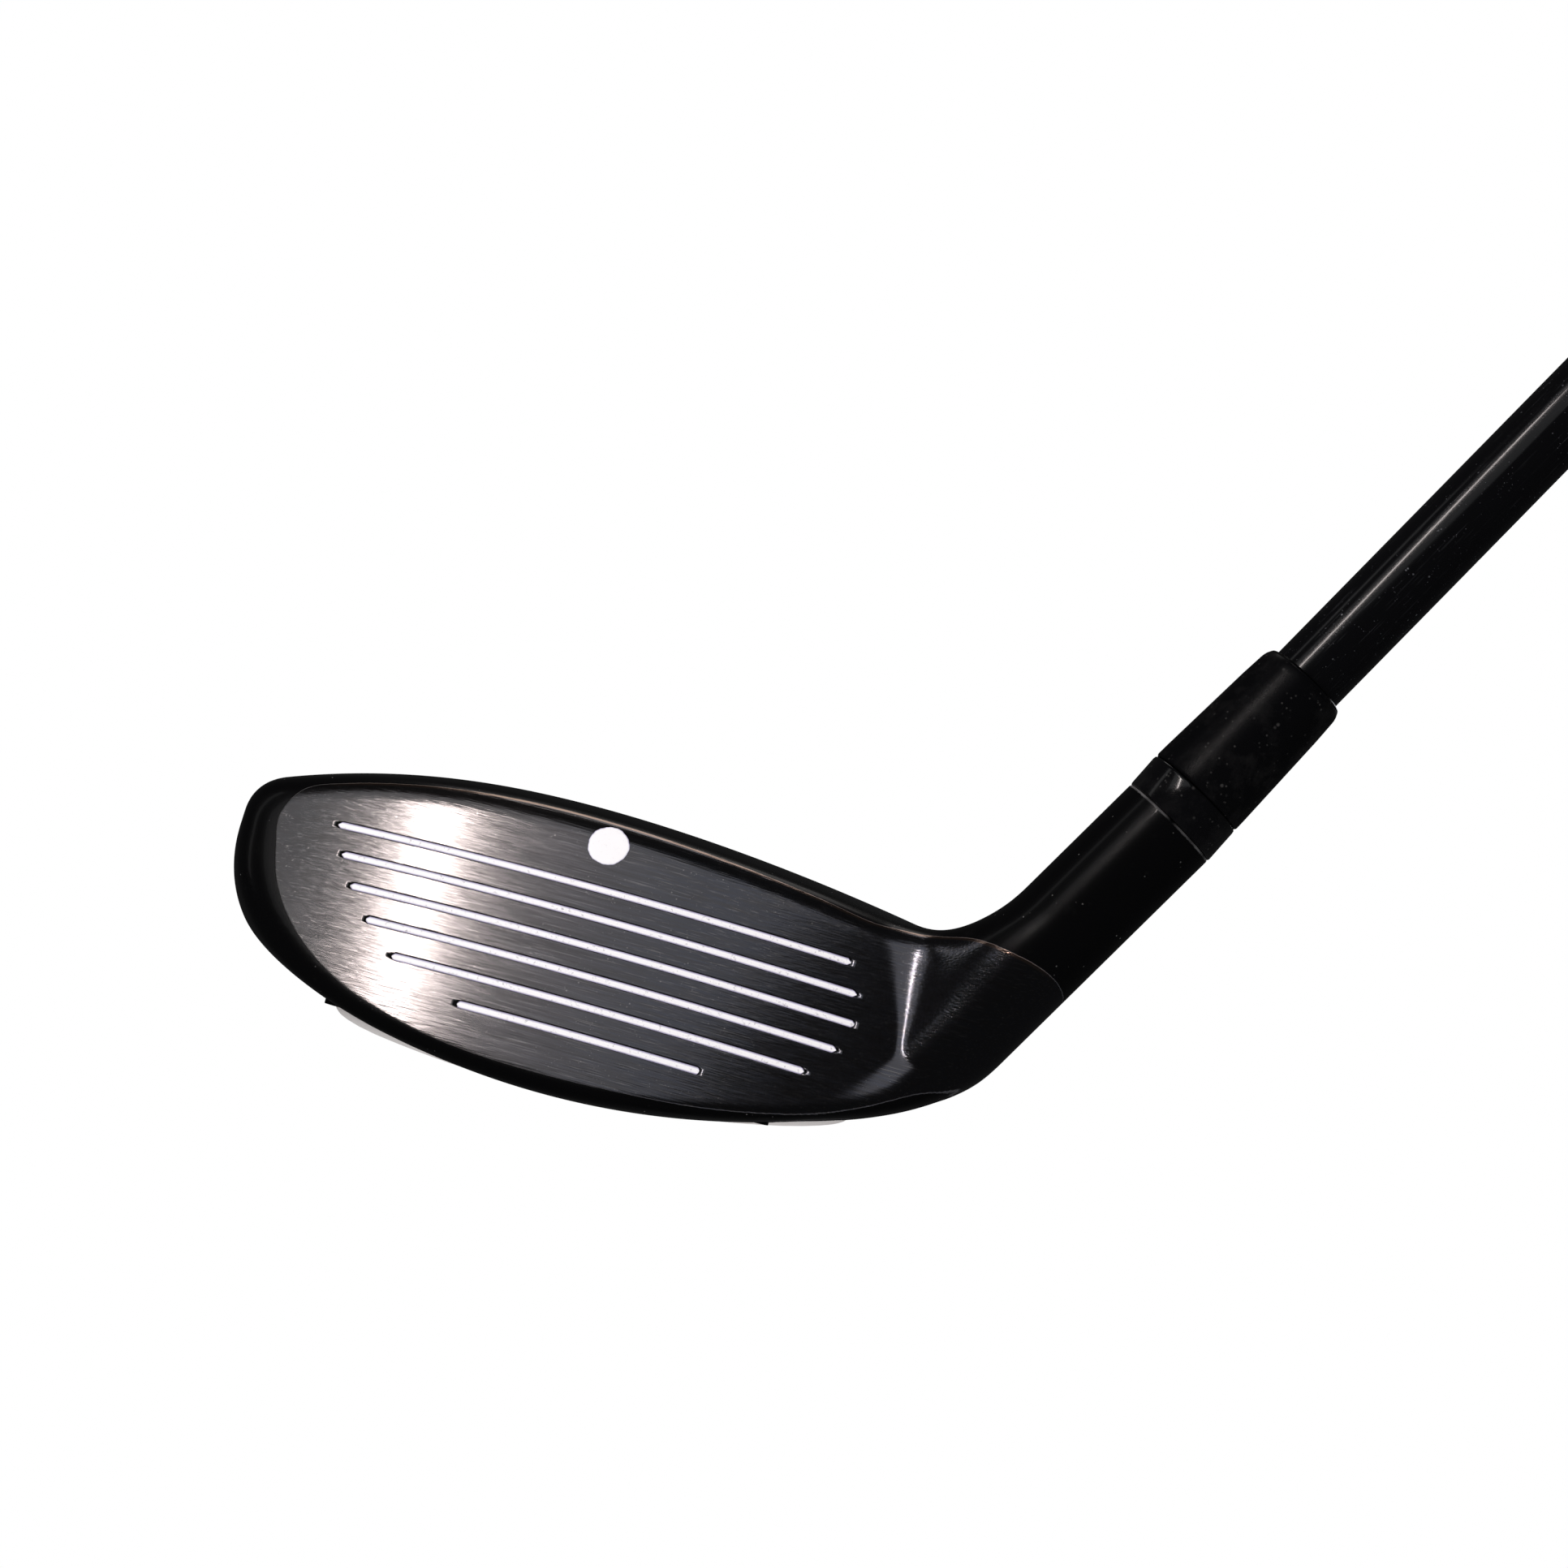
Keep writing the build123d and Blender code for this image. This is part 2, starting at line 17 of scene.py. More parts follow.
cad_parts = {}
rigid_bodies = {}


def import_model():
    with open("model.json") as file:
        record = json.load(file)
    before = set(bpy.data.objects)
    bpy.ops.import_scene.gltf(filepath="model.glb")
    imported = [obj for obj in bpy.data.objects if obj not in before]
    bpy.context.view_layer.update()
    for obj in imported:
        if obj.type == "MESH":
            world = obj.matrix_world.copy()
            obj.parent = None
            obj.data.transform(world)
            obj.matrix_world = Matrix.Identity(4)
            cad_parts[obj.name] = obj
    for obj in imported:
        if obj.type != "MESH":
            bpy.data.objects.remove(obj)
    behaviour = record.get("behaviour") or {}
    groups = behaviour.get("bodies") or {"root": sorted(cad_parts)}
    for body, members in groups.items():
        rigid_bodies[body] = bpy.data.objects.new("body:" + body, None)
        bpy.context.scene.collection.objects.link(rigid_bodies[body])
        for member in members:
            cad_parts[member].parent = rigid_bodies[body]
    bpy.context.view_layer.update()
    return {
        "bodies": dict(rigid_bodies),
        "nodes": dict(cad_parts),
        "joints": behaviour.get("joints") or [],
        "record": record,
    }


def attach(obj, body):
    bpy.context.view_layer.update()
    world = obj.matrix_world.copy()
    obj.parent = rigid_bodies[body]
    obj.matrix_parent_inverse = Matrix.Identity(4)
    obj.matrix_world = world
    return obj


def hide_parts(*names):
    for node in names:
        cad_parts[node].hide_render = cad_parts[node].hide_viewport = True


MM = 0.001
log = logging.getLogger("club")


# ---------------------------------------------------------------------------
# Small maths
# ---------------------------------------------------------------------------
def smooth_max(a: np.ndarray, b: np.ndarray, reach: float | np.ndarray) -> np.ndarray:
    """Larger of two levels, rounded where they come within reach of each other.

    Adds reach / 4 times the square of how deep the two lie inside the reach.

    Args:
        a: First level.
        b: Second level.
        reach: Width of the rounding in millimetres.

    Returns:
        The rounded maximum.
    """
    near = np.clip(1.0 - np.abs(a - b) / reach, 0.0, 1.0)
    return np.maximum(a, b) + near * near * reach / 4.0


def smooth_min(a: np.ndarray, b: np.ndarray, reach: float | np.ndarray) -> np.ndarray:
    """Smaller of two levels, rounded in the same way as smooth_max."""
    return -smooth_max(-a, -b, reach)


def ease(low: float, high: float, x: np.ndarray | float) -> np.ndarray:
    """Rise from 0 at low to 1 at high along 3s squared minus 2s cubed."""
    s = np.clip((np.asarray(x, float) - low) / (high - low), 0.0, 1.0)
    return s * s * (3.0 - 2.0 * s)


def unit(v: Sequence[float] | np.ndarray) -> np.ndarray:
    """Vector of length one in the same direction."""
    v = np.asarray(v, float)
    return v / np.linalg.norm(v)


def closed_curve(points: Sequence[tuple[float, float]], per_span: int = 12) -> np.ndarray:
    """Closed curve through points, each span a cubic whose slopes are half the chord between neighbours.

    Args:
        points: Corner points in order.
        per_span: Samples on each span.

    Returns:
        Samples as an N by 2 array, the first not repeated.
    """
    p = np.asarray(points, float)
    before, after, beyond = np.roll(p, 1, 0), np.roll(p, -1, 0), np.roll(p, -2, 0)
    s = np.linspace(0, 1, per_span, endpoint=False)[None, :, None]
    a, b, c, d = (q[:, None, :] for q in (before, p, after, beyond))
    spans = 0.5 * (2 * b + (c - a) * s + (2 * a - 5 * b + 4 * c - d) * s**2 + (3 * b - a - 3 * c + d) * s**3)
    return spans.reshape(-1, 2)


def signed_distance(points: np.ndarray, ring: np.ndarray, chunk: int = 6000) -> np.ndarray:
    """Distance from points to a closed ring in the plane, negative inside it.

    Args:
        points: N by 2 points.
        ring: M by 2 corners of the ring.
        chunk: Points handled at once.

    Returns:
        N distances.
    """
    a, b = ring, np.roll(ring, -1, 0)
    edge = b - a
    out = np.empty(len(points))
    for start in range(0, len(points), chunk):
        p = points[start : start + chunk, None, :]
        share = np.clip(((p - a) * edge).sum(-1) / (edge * edge).sum(-1), 0, 1)
        near = np.linalg.norm(p - a - share[..., None] * edge, axis=-1).min(1)
        crosses = (a[:, 1] > p[..., 1]) != (b[:, 1] > p[..., 1])
        at = a[:, 0] + (p[..., 1] - a[:, 1]) * edge[:, 0] / np.where(edge[:, 1] == 0, 1e-12, edge[:, 1])
        inside = (crosses & (p[..., 0] < at)).sum(1) % 2 == 1
        out[start : start + chunk] = np.where(inside, -near, near)
    return out


# ---------------------------------------------------------------------------
# Mesh making
# ---------------------------------------------------------------------------
@dataclass
class Grid:
    """Surface on a grid of rows and columns, in millimetres.

    Attributes:
        points: Rows by columns by 3 array.
        wrap_rows: The last row joins the first.
        wrap_columns: The last column joins the first.
    """

    points: np.ndarray
    wrap_rows: bool = False
    wrap_columns: bool = False

    def quads(self) -> np.ndarray:
        """Corner numbers of every four-sided cell, turning the same way."""
        rows, columns = self.points.shape[:2]
        number = np.arange(rows * columns).reshape(rows, columns)
        if self.wrap_rows:
            number = np.vstack([number, number[:1]])
        if self.wrap_columns:
            number = np.hstack([number, number[:, :1]])
        cells = [number[:-1, :-1], number[1:, :-1], number[1:, 1:], number[:-1, 1:]]
        return np.stack(cells, -1).reshape(-1, 4)

    def normals(self) -> np.ndarray:
        """Normals from the two directions along the grid, crossed."""
        p = self.points
        down = np.gradient(p, axis=0)
        across = np.gradient(p, axis=1)
        if self.wrap_rows:
            down = np.roll(p, -1, 0) - np.roll(p, 1, 0)
        if self.wrap_columns:
            across = np.roll(p, -1, 1) - np.roll(p, 1, 1)
        n = np.cross(down, across)
        return n / np.maximum(np.linalg.norm(n, axis=-1, keepdims=True), 1e-9)


def make_mesh(name: str, points: np.ndarray, faces: list | np.ndarray, normals: np.ndarray | None = None,
              smooth: bool = True, **marks: np.ndarray) -> bpy.types.Object:
    """Mesh object from millimetre points, with optional normals and point attributes.

    Args:
        name: Name of the piece.
        points: N by 3 points in millimetres.
        faces: Faces as corner numbers; a corner repeated in a quad makes it a triangle.
        normals: Optional N by 3 normals, one for each point.
        smooth: Shade smooth.
        **marks: Float attributes, one value for each point.

    Returns:
        The new object, linked to the scene.
    """
    faces = [list(dict.fromkeys(f)) for f in np.asarray(faces).tolist()]
    faces = [f for f in faces if len(f) > 2]
    mesh = bpy.data.meshes.new(name)
    mesh.from_pydata((np.asarray(points) * MM).tolist(), [], faces)
    mesh.polygons.foreach_set("use_smooth", np.full(len(faces), smooth))
    for mark, values in marks.items():
        layer = mesh.attributes.new(mark, "FLOAT", "POINT")
        layer.data.foreach_set("value", np.asarray(values, np.float32))
    mesh.update()
    if normals is not None:
        mesh.normals_split_custom_set_from_vertices(normals.tolist())
    piece = bpy.data.objects.new(name, mesh)
    bpy.context.scene.collection.objects.link(piece)
    return piece


def weld_ends(grid: Grid, first: bool, last: bool) -> tuple[np.ndarray, np.ndarray]:
    """Points and quads of a grid whose first or last row is one point.

    Args:
        grid: Grid whose end rows may have shrunk to a pole.
        first: The first row is a pole.
        last: The last row is a pole.

    Returns:
        Points and quads, with each pole's corners made one.
    """
    rows, columns = grid.points.shape[:2]
    quads = grid.quads()
    if first:
        quads = np.where(quads < columns, 0, quads)
    if last:
        quads = np.where(quads >= (rows - 1) * columns, (rows - 1) * columns, quads)
    return grid.points.reshape(-1, 3), quads


def compact(points: np.ndarray, quads: np.ndarray) -> tuple[np.ndarray, np.ndarray, np.ndarray]:
    """Drops the points no quad uses.

    Returns:
        The kept points, the renumbered quads and the old numbers of the kept points.
    """
    kept, back = np.unique(quads.ravel(), return_inverse=True)
    return points[kept], back.reshape(quads.shape), kept


# ---------------------------------------------------------------------------
# The two axes of the club
# ---------------------------------------------------------------------------
@dataclass(frozen=True)
class Line:
    """A tilted axis in the plane of the shaft.

    Attributes:
        lie: Angle to the ground in degrees.
        cross: Point both axes pass through, in millimetres.
        at_cross: Distance of that point from the ground along this axis.
    """

    lie: float
    at_cross: float
    cross: tuple[float, float, float] = (58.14, -1.0, 40.9)

    @property
    def up(self) -> np.ndarray:
        """Direction from the ground to the grip."""
        a = math.radians(self.lie)
        return np.array([math.cos(a), 0.0, math.sin(a)])

    @property
    def heelward(self) -> np.ndarray:
        """Direction square to the axis, away from the head."""
        a = math.radians(self.lie)
        return np.array([math.sin(a), 0.0, -math.cos(a)])

    def point(self, distance: float | np.ndarray) -> np.ndarray:
        """Point on the axis at a distance from the ground."""
        return np.asarray(self.cross) + np.multiply.outer(np.asarray(distance) - self.at_cross, self.up)

    def along(self, p: np.ndarray) -> np.ndarray:
        """Distance from the ground of points, measured along the axis."""
        return (p - np.asarray(self.cross)) @ self.up + self.at_cross

    def turned(self, profile: Sequence[tuple[float, float]], sides: int = 96) -> Grid:
        """Profile of (radius, distance) points carried round the axis.

        A point stands at the axis point of its distance, plus its radius along
        the cosine and sine of the turn.

        Args:
            profile: Radius and distance pairs in millimetres.
            sides: Steps round the axis.

        Returns:
            Grid of profile points by steps.
        """
        table = np.asarray(profile, float)
        turn = np.linspace(0, 2 * math.pi, sides, endpoint=False)
        ring = np.outer(np.cos(turn), self.heelward) + np.outer(np.sin(turn), [0.0, 1.0, 0.0])
        body = self.point(table[:, 1])[:, None, :] + table[:, 0, None, None] * ring[None]
        return Grid(body, wrap_columns=True)


SHAFT_LINE = Line(60.5, 47.0)
HOSEL_LINE = Line(59.5, 47.47)


def rounded(profile: Sequence[tuple[float, float, float]], steps: int = 5) -> list[tuple[float, float]]:
    """Profile whose corners are rounded: each corner becomes the curve (1-s)^2 a + 2s(1-s) c + s^2 b.

    Args:
        profile: Radius, distance and the length of the rounding at that corner.
        steps: Points on each rounded corner.

    Returns:
        Radius and distance pairs.
    """
    table = np.asarray(profile, float)
    out: list[tuple[float, float]] = []
    for i, (r, z, bevel) in enumerate(table):
        if bevel <= 0 or i in (0, len(table) - 1):
            out.append((r, z))
            continue
        here = np.array([r, z])
        a = here + unit(table[i - 1, :2] - here) * bevel
        b = here + unit(table[i + 1, :2] - here) * bevel
        for s in np.linspace(0, 1, steps):
            out.append(tuple((1 - s) ** 2 * a + 2 * s * (1 - s) * here + s * s * b))
    return out


def turned_piece(name: str, line: Line, profile: Sequence[tuple[float, float]], sides: int = 96,
                 closed: bool = True) -> bpy.types.Object:
    """Piece turned about an axis from a profile that runs once round its wall.

    Args:
        name: Name of the piece.
        line: Axis.
        profile: Radius and distance pairs; it goes up the inside and down the outside.
        sides: Steps round the axis.
        closed: The profile's end joins its start.

    Returns:
        The new object.
    """
    grid = line.turned(profile, sides)
    grid.wrap_rows = closed
    first, last = profile[0][0] < 1e-6, profile[-1][0] < 1e-6
    points, quads = weld_ends(grid, first and not closed, last and not closed)
    return make_mesh(name, points, quads)


# ---------------------------------------------------------------------------
# The form of the head
# ---------------------------------------------------------------------------
@dataclass
class HeadForm:
    """Smooth solid of the head and hosel, as a level that is negative inside.

    Sizes are in millimetres, angles in degrees.
    """

    loft: float = 22.5
    bulge: float = 310.0
    sole_radius: float = 100.0
    top: float = 35.75
    dot: tuple[float, float, float] = (0.0, -4.0, 31.4)
    hosel_radius: float = 6.45
    hosel_foot: float = 16.0
    hosel_mouth: float = 59.8
    crown_edge: float = 3.4
    sole_edge: float = 9.5
    face_edge: float = 2.3
    harmonics: int = 11
    outline: tuple[tuple[float, float], ...] = (
        (46.2, 8), (41, 21), (32, 31.5), (18, 40.5), (0, 45.3), (-18, 43.3), (-33, 35.5), (-43, 23.5),
        (-46.8, 9), (-45.2, -2), (-38, -11), (-22, -21), (10, -24), (36, -21), (46.2, -7))
    middle: tuple[float, float] = (0.0, 10.0)
    crown_peak: float = 8.5
    crown_lift: float = 0.2
    crown_camber: float = 38.0
    skirt_lean: float = 0.0055
    skirt_middle: float = 20.0
    hosel_sole: float = 3.0
    outer_sole: float = 2.0
    waves: np.ndarray = field(init=False)

    def __post_init__(self) -> None:
        """Fits the plan outline as a sum of waves round its middle."""
        ring = closed_curve(self.outline, 24) - np.asarray(self.middle)
        turn = np.arctan2(ring[:, 1], ring[:, 0])
        self.waves = np.linalg.lstsq(self._wave_table(turn), np.hypot(*ring.T), rcond=None)[0]

    def _wave_table(self, turn: np.ndarray) -> np.ndarray:
        """Cosines and sines of whole multiples of the turn."""
        k = np.arange(self.harmonics + 1)
        return np.concatenate([np.cos(turn[..., None] * k), np.sin(turn[..., None] * k[1:])], -1)

    @property
    def normal(self) -> np.ndarray:
        """Outward normal of the face at the dot."""
        a = math.radians(self.loft)
        return np.array([0.0, -math.cos(a), math.sin(a)])

    @property
    def upface(self) -> np.ndarray:
        """Direction up the face at the dot."""
        a = math.radians(self.loft)
        return np.array([0.0, math.sin(a), math.cos(a)])

    def on_face(self, x: np.ndarray, t: np.ndarray, depth: np.ndarray | float = 0.0) -> np.ndarray:
        """Points of the face: heelward x and up-face t from the dot, sunk by depth.

        The face is a ball, so it falls back by R minus the root of R squared
        less x squared less t squared.
        """
        back = self.bulge - np.sqrt(self.bulge**2 - x**2 - t**2)
        base = np.asarray(self.dot) + np.multiply.outer(x, [1.0, 0, 0]) + np.multiply.outer(t, self.upface)
        return base - (back + depth)[..., None] * self.normal

    def face_place(self, p: np.ndarray) -> tuple[np.ndarray, np.ndarray]:
        """Heelward and up-face coordinates of points."""
        q = p - np.asarray(self.dot)
        return q[..., 0], q @ self.upface

    def top_line(self, x: np.ndarray) -> np.ndarray:
        """Height of the top line, falling faster than a line to both ends."""
        d = x + 4.0
        heel = 0.00476 * np.maximum(d, 0) ** 1.8
        toe = 0.00137 * np.maximum(-d, 0) ** 2.3
        return self.top - heel - toe

    def block(self, p: np.ndarray) -> np.ndarray:
        """Level of the head without the hosel: crown, skirt, sole and face rounded together."""
        x, y, z = p[..., 0], p[..., 1], p[..., 2]
        behind = y - self.crown_peak
        rise = self.top_line(x) + self.crown_lift - behind**2 / (2 * self.crown_camber)
        crown = (z - rise) / np.sqrt(1.0 + (behind / self.crown_camber) ** 2)
        gap_x, gap_y = x - self.middle[0], y - self.middle[1]
        turn = np.arctan2(gap_y, gap_x)
        reach = self._wave_table(turn) @ self.waves
        k = np.arange(1, self.harmonics + 1)
        swing = np.cos(turn[..., None] * k) @ (k * self.waves[self.harmonics + 1 :])
        swing = swing - np.sin(turn[..., None] * k) @ (k * self.waves[1 : self.harmonics + 1])
        skirt = (np.hypot(gap_x, gap_y) - reach) / np.sqrt(1.0 + (swing / reach) ** 2)
        skirt = skirt + self.skirt_lean * (z - self.skirt_middle) ** 2
        sole = self.sole(p)
        centre = np.asarray(self.dot) - self.bulge * self.normal
        face = np.linalg.norm(p - centre, axis=-1) - self.bulge
        level = smooth_max(smooth_max(crown, skirt, self.crown_edge), sole, self.sole_edge)
        return smooth_max(level, face, self.face_edge)

    def sole(self, p: np.ndarray) -> np.ndarray:
        """Level of the ball the sole is part of."""
        return np.linalg.norm(p - [0.0, 0.0, self.sole_radius], axis=-1) - self.sole_radius

    def hosel(self, p: np.ndarray) -> np.ndarray:
        """Level of the hosel: a round bar with a round foot."""
        q = p - HOSEL_LINE.point(self.hosel_foot)
        s = np.maximum(q @ HOSEL_LINE.up, 0.0)
        return np.linalg.norm(q - s[..., None] * HOSEL_LINE.up, axis=-1) - self.hosel_radius

    def level(self, p: np.ndarray) -> np.ndarray:
        """Level of the whole head; block and hosel blend tightly at the heel crease, widely elsewhere."""
        z = p[..., 2]
        reach = 0.4 + 10.5 * ease(17.0, 36.0, z) + 9.0 * (1.0 - ease(5.0, 17.0, z))
        bar = smooth_max(self.hosel(p), self.sole(p), self.hosel_sole)
        return smooth_max(smooth_min(self.block(p), bar, reach), self.sole(p), self.outer_sole)

    def surface_along(self, start: np.ndarray, way: np.ndarray, reach: float = 75.0,
                      steps: int = 42) -> np.ndarray:
        """First points where rays from inside leave the solid, found by stepping then halving.

        Args:
            start: Ray starts, inside the solid.
            way: Unit directions.
            reach: Longest ray.
            steps: Coarse steps.

        Returns:
            Surface points.
        """
        near = np.zeros(start.shape[:-1])
        far = np.full(start.shape[:-1], reach)
        found = np.zeros(start.shape[:-1], bool)
        for k in range(1, steps + 1):
            r = reach * k / steps
            out = (self.level(start + way * r) > 0) & ~found
            far[out] = r
            found |= out
            near[~found] = r
        for _ in range(26):
            r = (near + far) / 2
            out = self.level(start + way * r[..., None]) > 0
            far, near = np.where(out, r, far), np.where(out, near, r)
        return start + way * ((near + far) / 2)[..., None]

    def drop_to(self, p: np.ndarray, way: np.ndarray, span: float = 7.0) -> np.ndarray:
        """Moves points along a direction onto the surface, from up to span inside to span outside."""
        near, far = np.full(p.shape[:-1], -span), np.full(p.shape[:-1], span)
        for _ in range(30):
            r = (near + far) / 2
            out = self.level(p + way * r[..., None]) > 0
            far, near = np.where(out, r, far), np.where(out, near, r)
        return p + way * ((near + far) / 2)[..., None]


@dataclass
class ScoreLines:
    """The six cut lines of the face and the dot over them, in millimetres."""

    width: float = 0.9
    depth: float = 0.42
    first: float = 5.75
    pitch: float = 3.68
    ends: tuple[tuple[float, float], ...] = (
        (-32.8, 32.1), (-31.0, 33.8), (-28.6, 34.6), (-25.3, 33.3), (-20.7, 30.4), (-11.2, 18.7))
    dot_radius: float = 2.55

    def heights(self) -> np.ndarray:
        """Up-face places of the lines."""
        return -self.first - self.pitch * np.arange(len(self.ends))

    def cut(self, x: np.ndarray, t: np.ndarray) -> np.ndarray:
        """Depth of the cuts: full inside a line's rounded bar, easing to nothing over its edge."""
        deep = np.zeros_like(x)
        for (toe, heel), t0 in zip(self.ends, self.heights()):
            over = np.maximum(np.abs(x - (toe + heel) / 2) - (heel - toe - self.width) / 2, 0)
            away = np.hypot(over, t - t0)
            inside = 1 - ease(self.width / 2 - 0.10, self.width / 2 + 0.02, away)
            deep = np.maximum(deep, self.depth * inside)
        return deep

    def rows(self) -> np.ndarray:
        """Up-face places of the face's rows, close together at each line's edges."""
        beside = np.array([0.64, 0.50, 0.44, 0.37, 0.30, 0.12])
        near = np.concatenate([beside, -beside[::-1]])
        rows = [np.linspace(3.9, self.heights()[0] + 1.1, 20)]
        for i, t0 in enumerate(self.heights()):
            rows.append(t0 + near)
            if i + 1 < len(self.ends):
                rows.append(np.linspace(t0 - 1.1, t0 - self.pitch + 1.1, 5))
        rows.append(np.linspace(self.heights()[-1] - 1.1, -31.0, 14))
        return np.concatenate(rows)


@dataclass
class HeadSkin:
    """Skin of head and hosel on one grid, cut into the pieces it is made from.

    Columns run from the toe along the head, fan round the crotch and go up the
    hosel; rows run down the face, back along the sole and over the crown.
    """

    form: HeadForm
    lines: ScoreLines
    around: int = 150
    toe_x: float = -34.0
    fan_x: float = 37.5
    fan_z: float = 50.0
    centre_y: float = 12.0
    centre_z: float = 18.0
    cap_columns: int = 46
    long_columns: int = 150
    fan_columns: int = 90
    hosel_columns: int = 26
    spine_shift: float = 10.5
    hosel_start: float = 22.4
    bore_radius: float = 5.56
    bore_depth: float = 16.0
    face_share: float = 0.42
    crown_share: float = 0.5
    crown_rows: tuple[float, int] = (0.52, 4)
    crown_short: int = 18
    face_short: int = 2
    face_rows: int = field(init=False)
    grid: Grid = field(init=False)
    rows: np.ndarray = field(init=False)
    columns: np.ndarray = field(init=False)

    def __post_init__(self) -> None:
        """Works out the grid and its marks."""
        self.face_rows = len(self.lines.rows())
        self._build()

    def _spine_y(self, x: np.ndarray) -> np.ndarray:
        """Depth of the sweep's centre, moving forward as it nears the heel."""
        return self.centre_y - self.spine_shift * ease(5.0, self.fan_x, x)

    def _angles(self, x: np.ndarray) -> np.ndarray:
        """Ray angles for each column: onto the face rows first, then evenly round to the top."""
        t = self.lines.rows()
        grid_x, grid_t = np.meshgrid(x, t, indexing="xy")
        face = self.form.on_face(grid_x, grid_t)
        a = np.arctan2(face[..., 2] - self.centre_z, -(face[..., 1] - self._spine_y(x)[None, :]))
        share = np.arange(1, self.around + 1)[:, None] / (self.around + 1)
        rest = a[-1:] + share * (a[:1] - 2 * math.pi - a[-1:])
        return np.vstack([a, rest])

    def _build(self) -> None:
        """Casts every ray and keeps points, column kinds and marks."""
        x = np.linspace(self.toe_x, self.fan_x, self.long_columns)
        a = self._angles(x)
        start = np.stack([x, self._spine_y(x), np.full_like(x, self.centre_z)], -1)
        front, high = np.array([0.0, -1.0, 0.0]), np.array([0.0, 0.0, 1.0])
        way = np.cos(a)[..., None] * front + np.sin(a)[..., None] * high
        long_part = self.form.surface_along(np.broadcast_to(start, way.shape), way)

        lean = np.linspace(math.pi / 2, 0, self.cap_columns + 1)[:-1]
        ring = np.cos(a[:, :1])[..., None] * front + np.sin(a[:, :1])[..., None] * high
        way = ring * np.cos(lean)[None, :, None] + np.array([-1.0, 0, 0]) * np.sin(lean)[None, :, None]
        cap = self.form.surface_along(np.broadcast_to(start[0], way.shape), way)

        turn = np.linspace(0, 1, self.fan_columns + 1)[1:]
        tilt = turn * math.radians(HOSEL_LINE.lie)
        up = np.stack([-np.sin(tilt), np.zeros_like(tilt), np.cos(tilt)], -1)
        pivot = np.array([self.fan_x, 0.0, self.fan_z])
        drop = self.fan_z - self.centre_z
        reach_out = drop + (self.hosel_start - drop) * ease(0, 1, turn)
        start = pivot - up * reach_out[:, None]
        ahead = ease(0, 0.28, turn)
        start[:, 1] = (1 - ahead) * self._spine_y(np.array([self.fan_x]))[0] + ahead * HOSEL_LINE.cross[1]
        even = a[:1, -1:] - np.arange(len(a))[:, None] / len(a) * 2 * math.pi
        spread = ease(0.1, 1, turn)[None, :]
        bend = a[:, -1:] * (1 - spread) + even * spread
        way = np.cos(bend)[..., None] * front + np.sin(bend)[..., None] * up[None]
        fan = self.form.surface_along(np.broadcast_to(start, way.shape), way)

        first = HOSEL_LINE.along(start[-1])
        ring = np.cos(even)[..., None] * front + np.sin(even)[..., None] * up[-1]
        r = self.form.hosel_radius
        mouth = self.form.hosel_mouth
        stations = [(r, s) for s in np.linspace(first, mouth - 0.3, self.hosel_columns)[1:]]
        bore = self.bore_radius
        stations += [(r - 0.02, mouth - 0.15), (r - 0.09, mouth - 0.04), (r - 0.22, mouth)]
        stations += [(bore + 0.19, mouth), (bore + 0.04, mouth - 0.05), (bore, mouth - 0.2)]
        stations += [(bore, mouth - self.bore_depth)]
        table = np.array(stations)
        tube = HOSEL_LINE.point(table[:, 1])[None] + table[:, 0][None, :, None] * ring
        middle = np.broadcast_to(HOSEL_LINE.point(table[:, 1])[None], tube.shape)
        tube_level = self.form.surface_along(middle, np.broadcast_to(ring, tube.shape), 20.0, 20)
        near_mouth = ease(47.0, 56.0, table[:, 1])[None, :, None]
        outside = (table[:, 0] >= r)[None, :, None]
        tube = np.where(outside, tube_level * (1 - near_mouth) + tube * near_mouth, tube)

        self.grid = Grid(np.concatenate([cap, long_part, fan, tube], 1), wrap_rows=True)
        self.grid.points[:, 0] = self.grid.points[:, 0].mean(0)
        px, pt = self.form.face_place(self.grid.points)
        deep = self.lines.cut(px, pt)
        rows = np.arange(len(a))[:, None]
        columns = np.arange(self.grid.points.shape[1])[None, :]
        on_front = (rows < self.face_rows) & (columns < self.cap_columns + self.long_columns)
        self.grid.points -= np.where(on_front, deep, 0)[..., None] * self.form.normal
        self.rows, self.columns = np.broadcast_arrays(rows, columns)

    def cut_pieces(self, border: np.ndarray, openings: list["Opening"]) -> dict[str, bpy.types.Object]:
        """Cuts the skin into face plate, crown shell and body.

        Args:
            border: Signed distance of each point to the edge of the brushed metal.
            openings: Holes whose cells are left out of the body.

        Returns:
            The three pieces by name.
        """
        points, quads = self.grid.points.reshape(-1, 3), self.grid.quads()
        normals = self.grid.normals().reshape(-1, 3)
        row, column = self.rows.reshape(-1)[quads[:, 0]], self.columns.reshape(-1)[quads[:, 0]]
        last = self.cap_columns + self.long_columns
        on_face = (row < self.face_rows - 1) & (column > self.cap_columns * self.face_share)
        on_face &= column < last - self.face_short
        middle = points[quads].mean(1)
        first_row, end_row = self.face_rows + self.around * self.crown_rows[0], self.face_rows + self.around
        on_crown = (row > first_row) & (row < end_row - self.crown_rows[1])
        on_crown &= (column > self.cap_columns * self.crown_share) & (column < last - self.crown_short)
        keep = np.ones(len(quads), bool)
        for opening in openings:
            keep &= ~opening.holds(middle)
        pole = self.columns.reshape(-1)[quads] == 0
        quads = np.where(pole, 0, quads)
        pieces = {}
        along = HOSEL_LINE.along(points)
        masks = {"face_plate": on_face, "crown_shell": on_crown, "head_body": ~on_face & ~on_crown & keep}
        for name, mask in masks.items():
